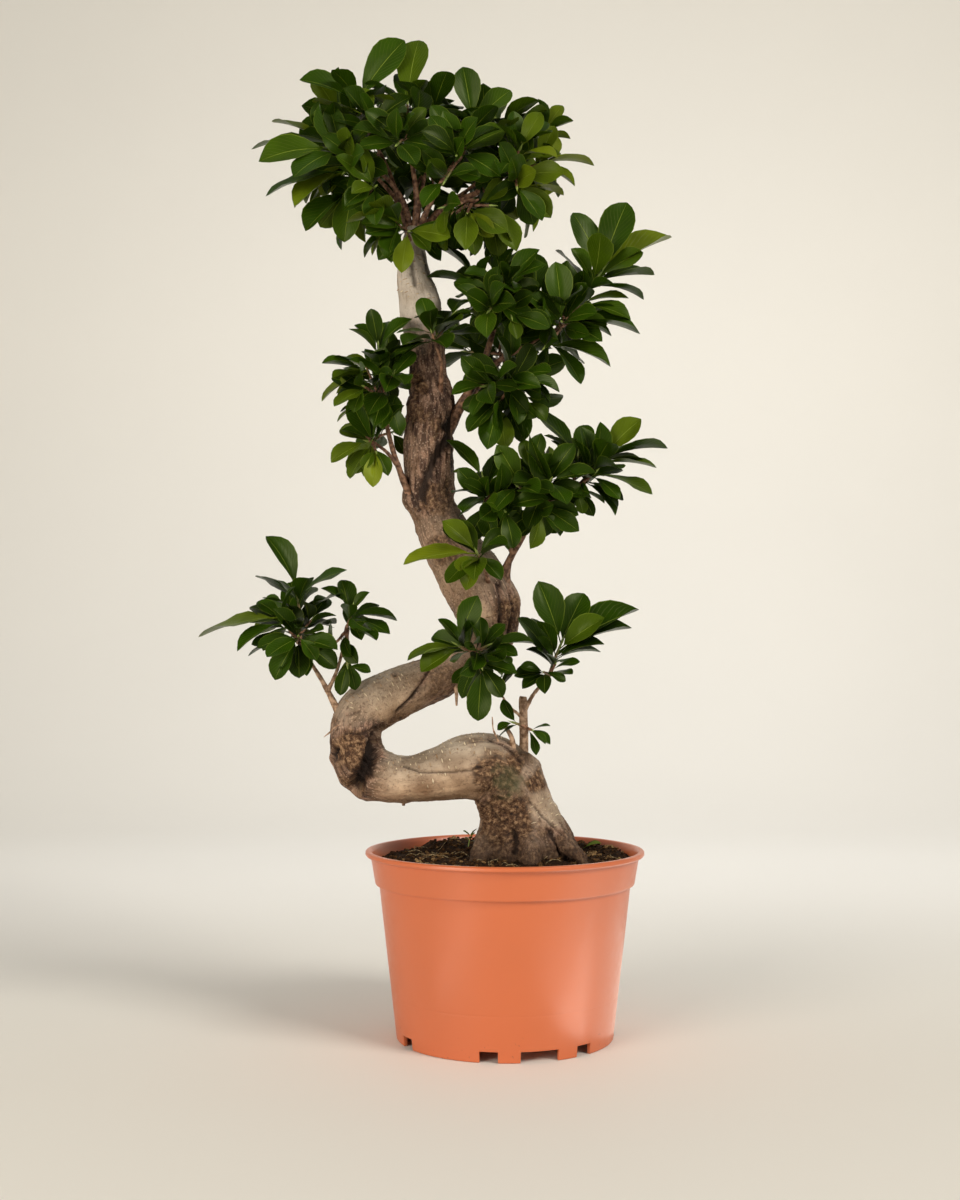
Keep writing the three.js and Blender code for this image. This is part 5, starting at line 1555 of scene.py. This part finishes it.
def leaf_models(thickness):
    """Six leaves that differ in arch, fold, twist and wave, with their materials."""
    known = bpy.data.materials
    upper = known.get("waxy_leaf_upper") or leaf_blade(
        "waxy_leaf_upper", ("#172602", "#2a4404", "#788518"), "#93a53c", 0.34, 0.17)
    under = known.get("matt_leaf_under") or leaf_blade(
        "matt_leaf_under", ("#29390a", "#45560f", "#7d8a2a"), "#9aa050", 0.6, 0.1)
    stalk = known.get("green_stalk") or green_stalk()
    models = []
    for i, shape in enumerate(LEAF_SHAPES):
        model = leaf_model(f"leaf_model_{i}", *shape, thickness / (60 * MM))
        for k, material in enumerate((upper, under, stalk)):
            model.data.materials[k] = material
        models.append(model)
    return models


def bud_model():
    """A pointed end bud of a shoot, standing on the origin."""
    bud = turned_shell("bud_model", BUD, sides=6)
    bud.data.uv_layers.new(name="blade")
    bud.data.materials.append(bpy.data.materials["green_stalk"])
    bud.data.materials.append(twig_bark())
    set_tone(bud.data, 0.5)
    return bud


def twig_line(start, tip, draws):
    """A shoot's twig: a little bent near its foot, straight where its leaves sit, thicker at its joints."""
    way = tip - start
    bend = way.cross(Vector([draws.uniform(-1, 1) for _ in range(3)])).normalized()
    line = []
    for k in range(11):
        part = k / 10
        sway = math.sin(min(part / 0.45, 1) * math.pi) * min(2 * MM, way.length * 0.05)
        joint = 1 + 0.18 * (k % 2)
        line.append((start + way * part + bend * sway, (1.75 - 0.75 * part) * joint * MM))
    return line


def spur_line(limb):
    """The wood of a limb's spur, thinning towards its end."""
    start, ahead = spur_of(limb)
    thick = limb["wood"][-1][3] / 2 * MM
    count = len(limb["tips"]) + 0.7
    return [(start + ahead * count * k / 4 - ahead * 0.5 * (k == 0), thick * (1.05 - 0.09 * k)) for k in range(5)]


def twig_tones(mesh, limb):
    """0.2 at a spray's woody foot, rising to 1 at its tips."""
    start = in_space(limb["wood"][-1])
    away = np.linalg.norm(points_of(mesh) - np.array(start), axis=1)
    return 0.2 + 0.8 * np.clip(away / max(away.max(), 1e-6), 0, 1) ** 1.5


class FICUS_OT_loose_leaves(bpy.types.Operator):
    """Lay the fallen pale leaf on the soil, and set the small weed beside the trunk"""
    bl_idname = "ficus.loose_leaves"
    bl_label = "Fallen leaf and weed"

    def execute(self, context):
        models = leaf_models(context.scene.ficus_leaf.thickness)
        x, y = FALLEN_LEAF
        ends = [(x + side * 9, y - side * 2) for side in (-1, 1)]
        ends = [Vector((*end, soil_height(*end) + 2.5)) * MM for end in ends]
        matrix = leaf_matrix(*ends, Vector((0, -0.5, 1)), 3.6 * MM)
        fallen = join("fallen_leaf", [placed_copy(models[1], matrix, 0.5)])
        fallen.data.materials[0] = leaf_blade(
            "wilted_leaf", ("#4a5a1c", "#66762e", "#8a9450"), "#a0a868", 0.5, 0.2)
        hand_over(fallen, "leaf")

        x, y = WEED
        foot = Vector((x, y, soil_height(x, y) - 1))
        stem = [((foot + Vector(way)) * MM, radius * MM)
                for way, radius in (((0, 0, 0), 0.7), ((1, -1, 7), 0.55), ((3, -2, 13), 0.35))]
        weed_stem = rods("weed_stem", [stem], roundness=0)
        set_tone(weed_stem.data, 1)
        weed_stem.data.materials.append(bpy.data.materials["green_stalk"])
        weed_stem.data.uv_layers.new(name="blade")
        blades = []
        for i, model in enumerate(models):
            turn = i * 2.4
            base = foot + Vector((1 + 0.35 * i, -1 - 0.2 * i, 5 + 1.6 * i))
            end = base + Vector((math.cos(turn) * 8, math.sin(turn) * 8, 2 + i))
            matrix = leaf_matrix(base * MM, end * MM, Vector((0, 0, 1)), 2.3 * MM)
            blades.append(placed_copy(model, matrix, 0.7 + 0.05 * i))
        weed = join("weed", [*blades, weed_stem])
        hand_over(weed, "leaf")
        for model in models:
            bpy.data.objects.remove(model)
        return {"FINISHED"}


class FICUS_OT_stage(bpy.types.Operator):
    """Set the pale floor and backdrop, the soft lights and the camera"""
    bl_idname = "ficus.stage"
    bl_label = "Stage"

    def execute(self, context):
        sizes = context.scene.ficus_stage
        deselect_all()
        bpy.ops.mesh.primitive_grid_add(x_subdivisions=2, y_subdivisions=40, size=1, location=(0, 0, 0))
        floor = context.object
        floor.name = "floor"
        places = points_of(floor.data)
        way = (places[:, 1] + 0.5) * FLOOR_LONG
        turn = np.clip((way - FLOOR_FLAT) / FLOOR_BEND, 0, 1) * math.pi / 2
        radius = FLOOR_BEND / (math.pi / 2)
        back = np.minimum(way, FLOOR_FLAT) + radius * np.sin(turn)
        rise = radius * (1 - np.cos(turn)) + np.maximum(way - (FLOOR_FLAT + FLOOR_BEND), 0)
        places = np.stack([places[:, 0] * FLOOR_WIDE, back - FLOOR_FRONT, rise - 0.0004], axis=1)
        set_points(floor.data, places)
        set_faces(floor.data, "use_smooth", True)
        floor.data.materials.append(painted_floor())

        for name, (place, aim, size, power, tint) in LIGHTS.items():
            bpy.ops.object.light_add(type="AREA", location=place)
            lamp = context.object
            lamp.name = name
            lamp.rotation_euler = (Vector(aim) - Vector(place)).to_track_quat("-Z", "Y").to_euler()
            lamp.data.shape = "RECTANGLE"
            lamp.data.size, lamp.data.size_y = size
            lamp.data.energy = power or sizes.key_power
            lamp.data.color = colour(tint)[:3]
            lamp.visible_diffuse = "card" not in name
        world = bpy.data.worlds.new("studio_air")
        context.scene.world = world
        world.use_nodes = True
        fill_inputs(world.node_tree.nodes["Background"], {"Color": colour(AIR_COLOUR), "Strength": AIR_STRENGTH})

        bpy.ops.object.camera_add(location=Vector((EYE_ACROSS, -EYE_DISTANCE, EYE_UP)) * MM,
                                  rotation=(math.pi / 2 + EYE_TILT, 0, 0))
        camera = context.object
        camera.data.lens = sizes.lens
        camera.data.sensor_width = SENSOR_WIDTH
        camera.data.clip_end = VIEW_REACH
        context.scene.camera = camera
        context.scene.view_settings.view_transform = "Standard"
        return {"FINISHED"}


class FICUS_PT_panel(bpy.types.Panel):
    bl_label = "Ginseng Ficus"
    bl_idname = "FICUS_PT_panel"
    bl_space_type = "VIEW_3D"
    bl_region_type = "UI"
    bl_category = "Ficus"

    def draw(self, context):
        for step in STEPS:
            self.layout.operator(step.bl_idname)
        for group in GROUPS:
            settings = getattr(context.scene, group)
            self.layout.label(text=group.removeprefix("ficus_").capitalize())
            for name in settings.__annotations__:
                self.layout.prop(settings, name)


GROUPS = {
    "ficus_pot": FicusPotSizes,
    "ficus_soil": FicusSoilSizes,
    "ficus_trunk": FicusTrunkSizes,
    "ficus_leaf": FicusLeafSizes,
    "ficus_stage": FicusStageSizes,
}
STEPS = (FICUS_OT_pot, FICUS_OT_soil_bed, FICUS_OT_soil_litter, FICUS_OT_trunk, FICUS_OT_pores, FICUS_OT_limbs,
         FICUS_OT_sprays, FICUS_OT_loose_leaves, FICUS_OT_stage)


def register():
    for name, group in GROUPS.items():
        bpy.utils.register_class(group)
        setattr(bpy.types.Scene, name, PointerProperty(type=group))
    for step in (*STEPS, FICUS_PT_panel):
        bpy.utils.register_class(step)


def unregister():
    for step in reversed((*STEPS, FICUS_PT_panel)):
        bpy.utils.unregister_class(step)
    for name, group in reversed(GROUPS.items()):
        delattr(bpy.types.Scene, name)
        bpy.utils.unregister_class(group)


def main():
    register()
    bpy.ops.ficus.pot()
    bpy.ops.ficus.soil_bed()
    bpy.ops.ficus.soil_litter()
    bpy.ops.ficus.trunk()
    bpy.ops.ficus.pores()
    bpy.ops.ficus.limbs()
    bpy.ops.ficus.sprays()
    bpy.ops.ficus.loose_leaves()
    bpy.ops.ficus.stage()


if __name__ == "__main__":
    main()
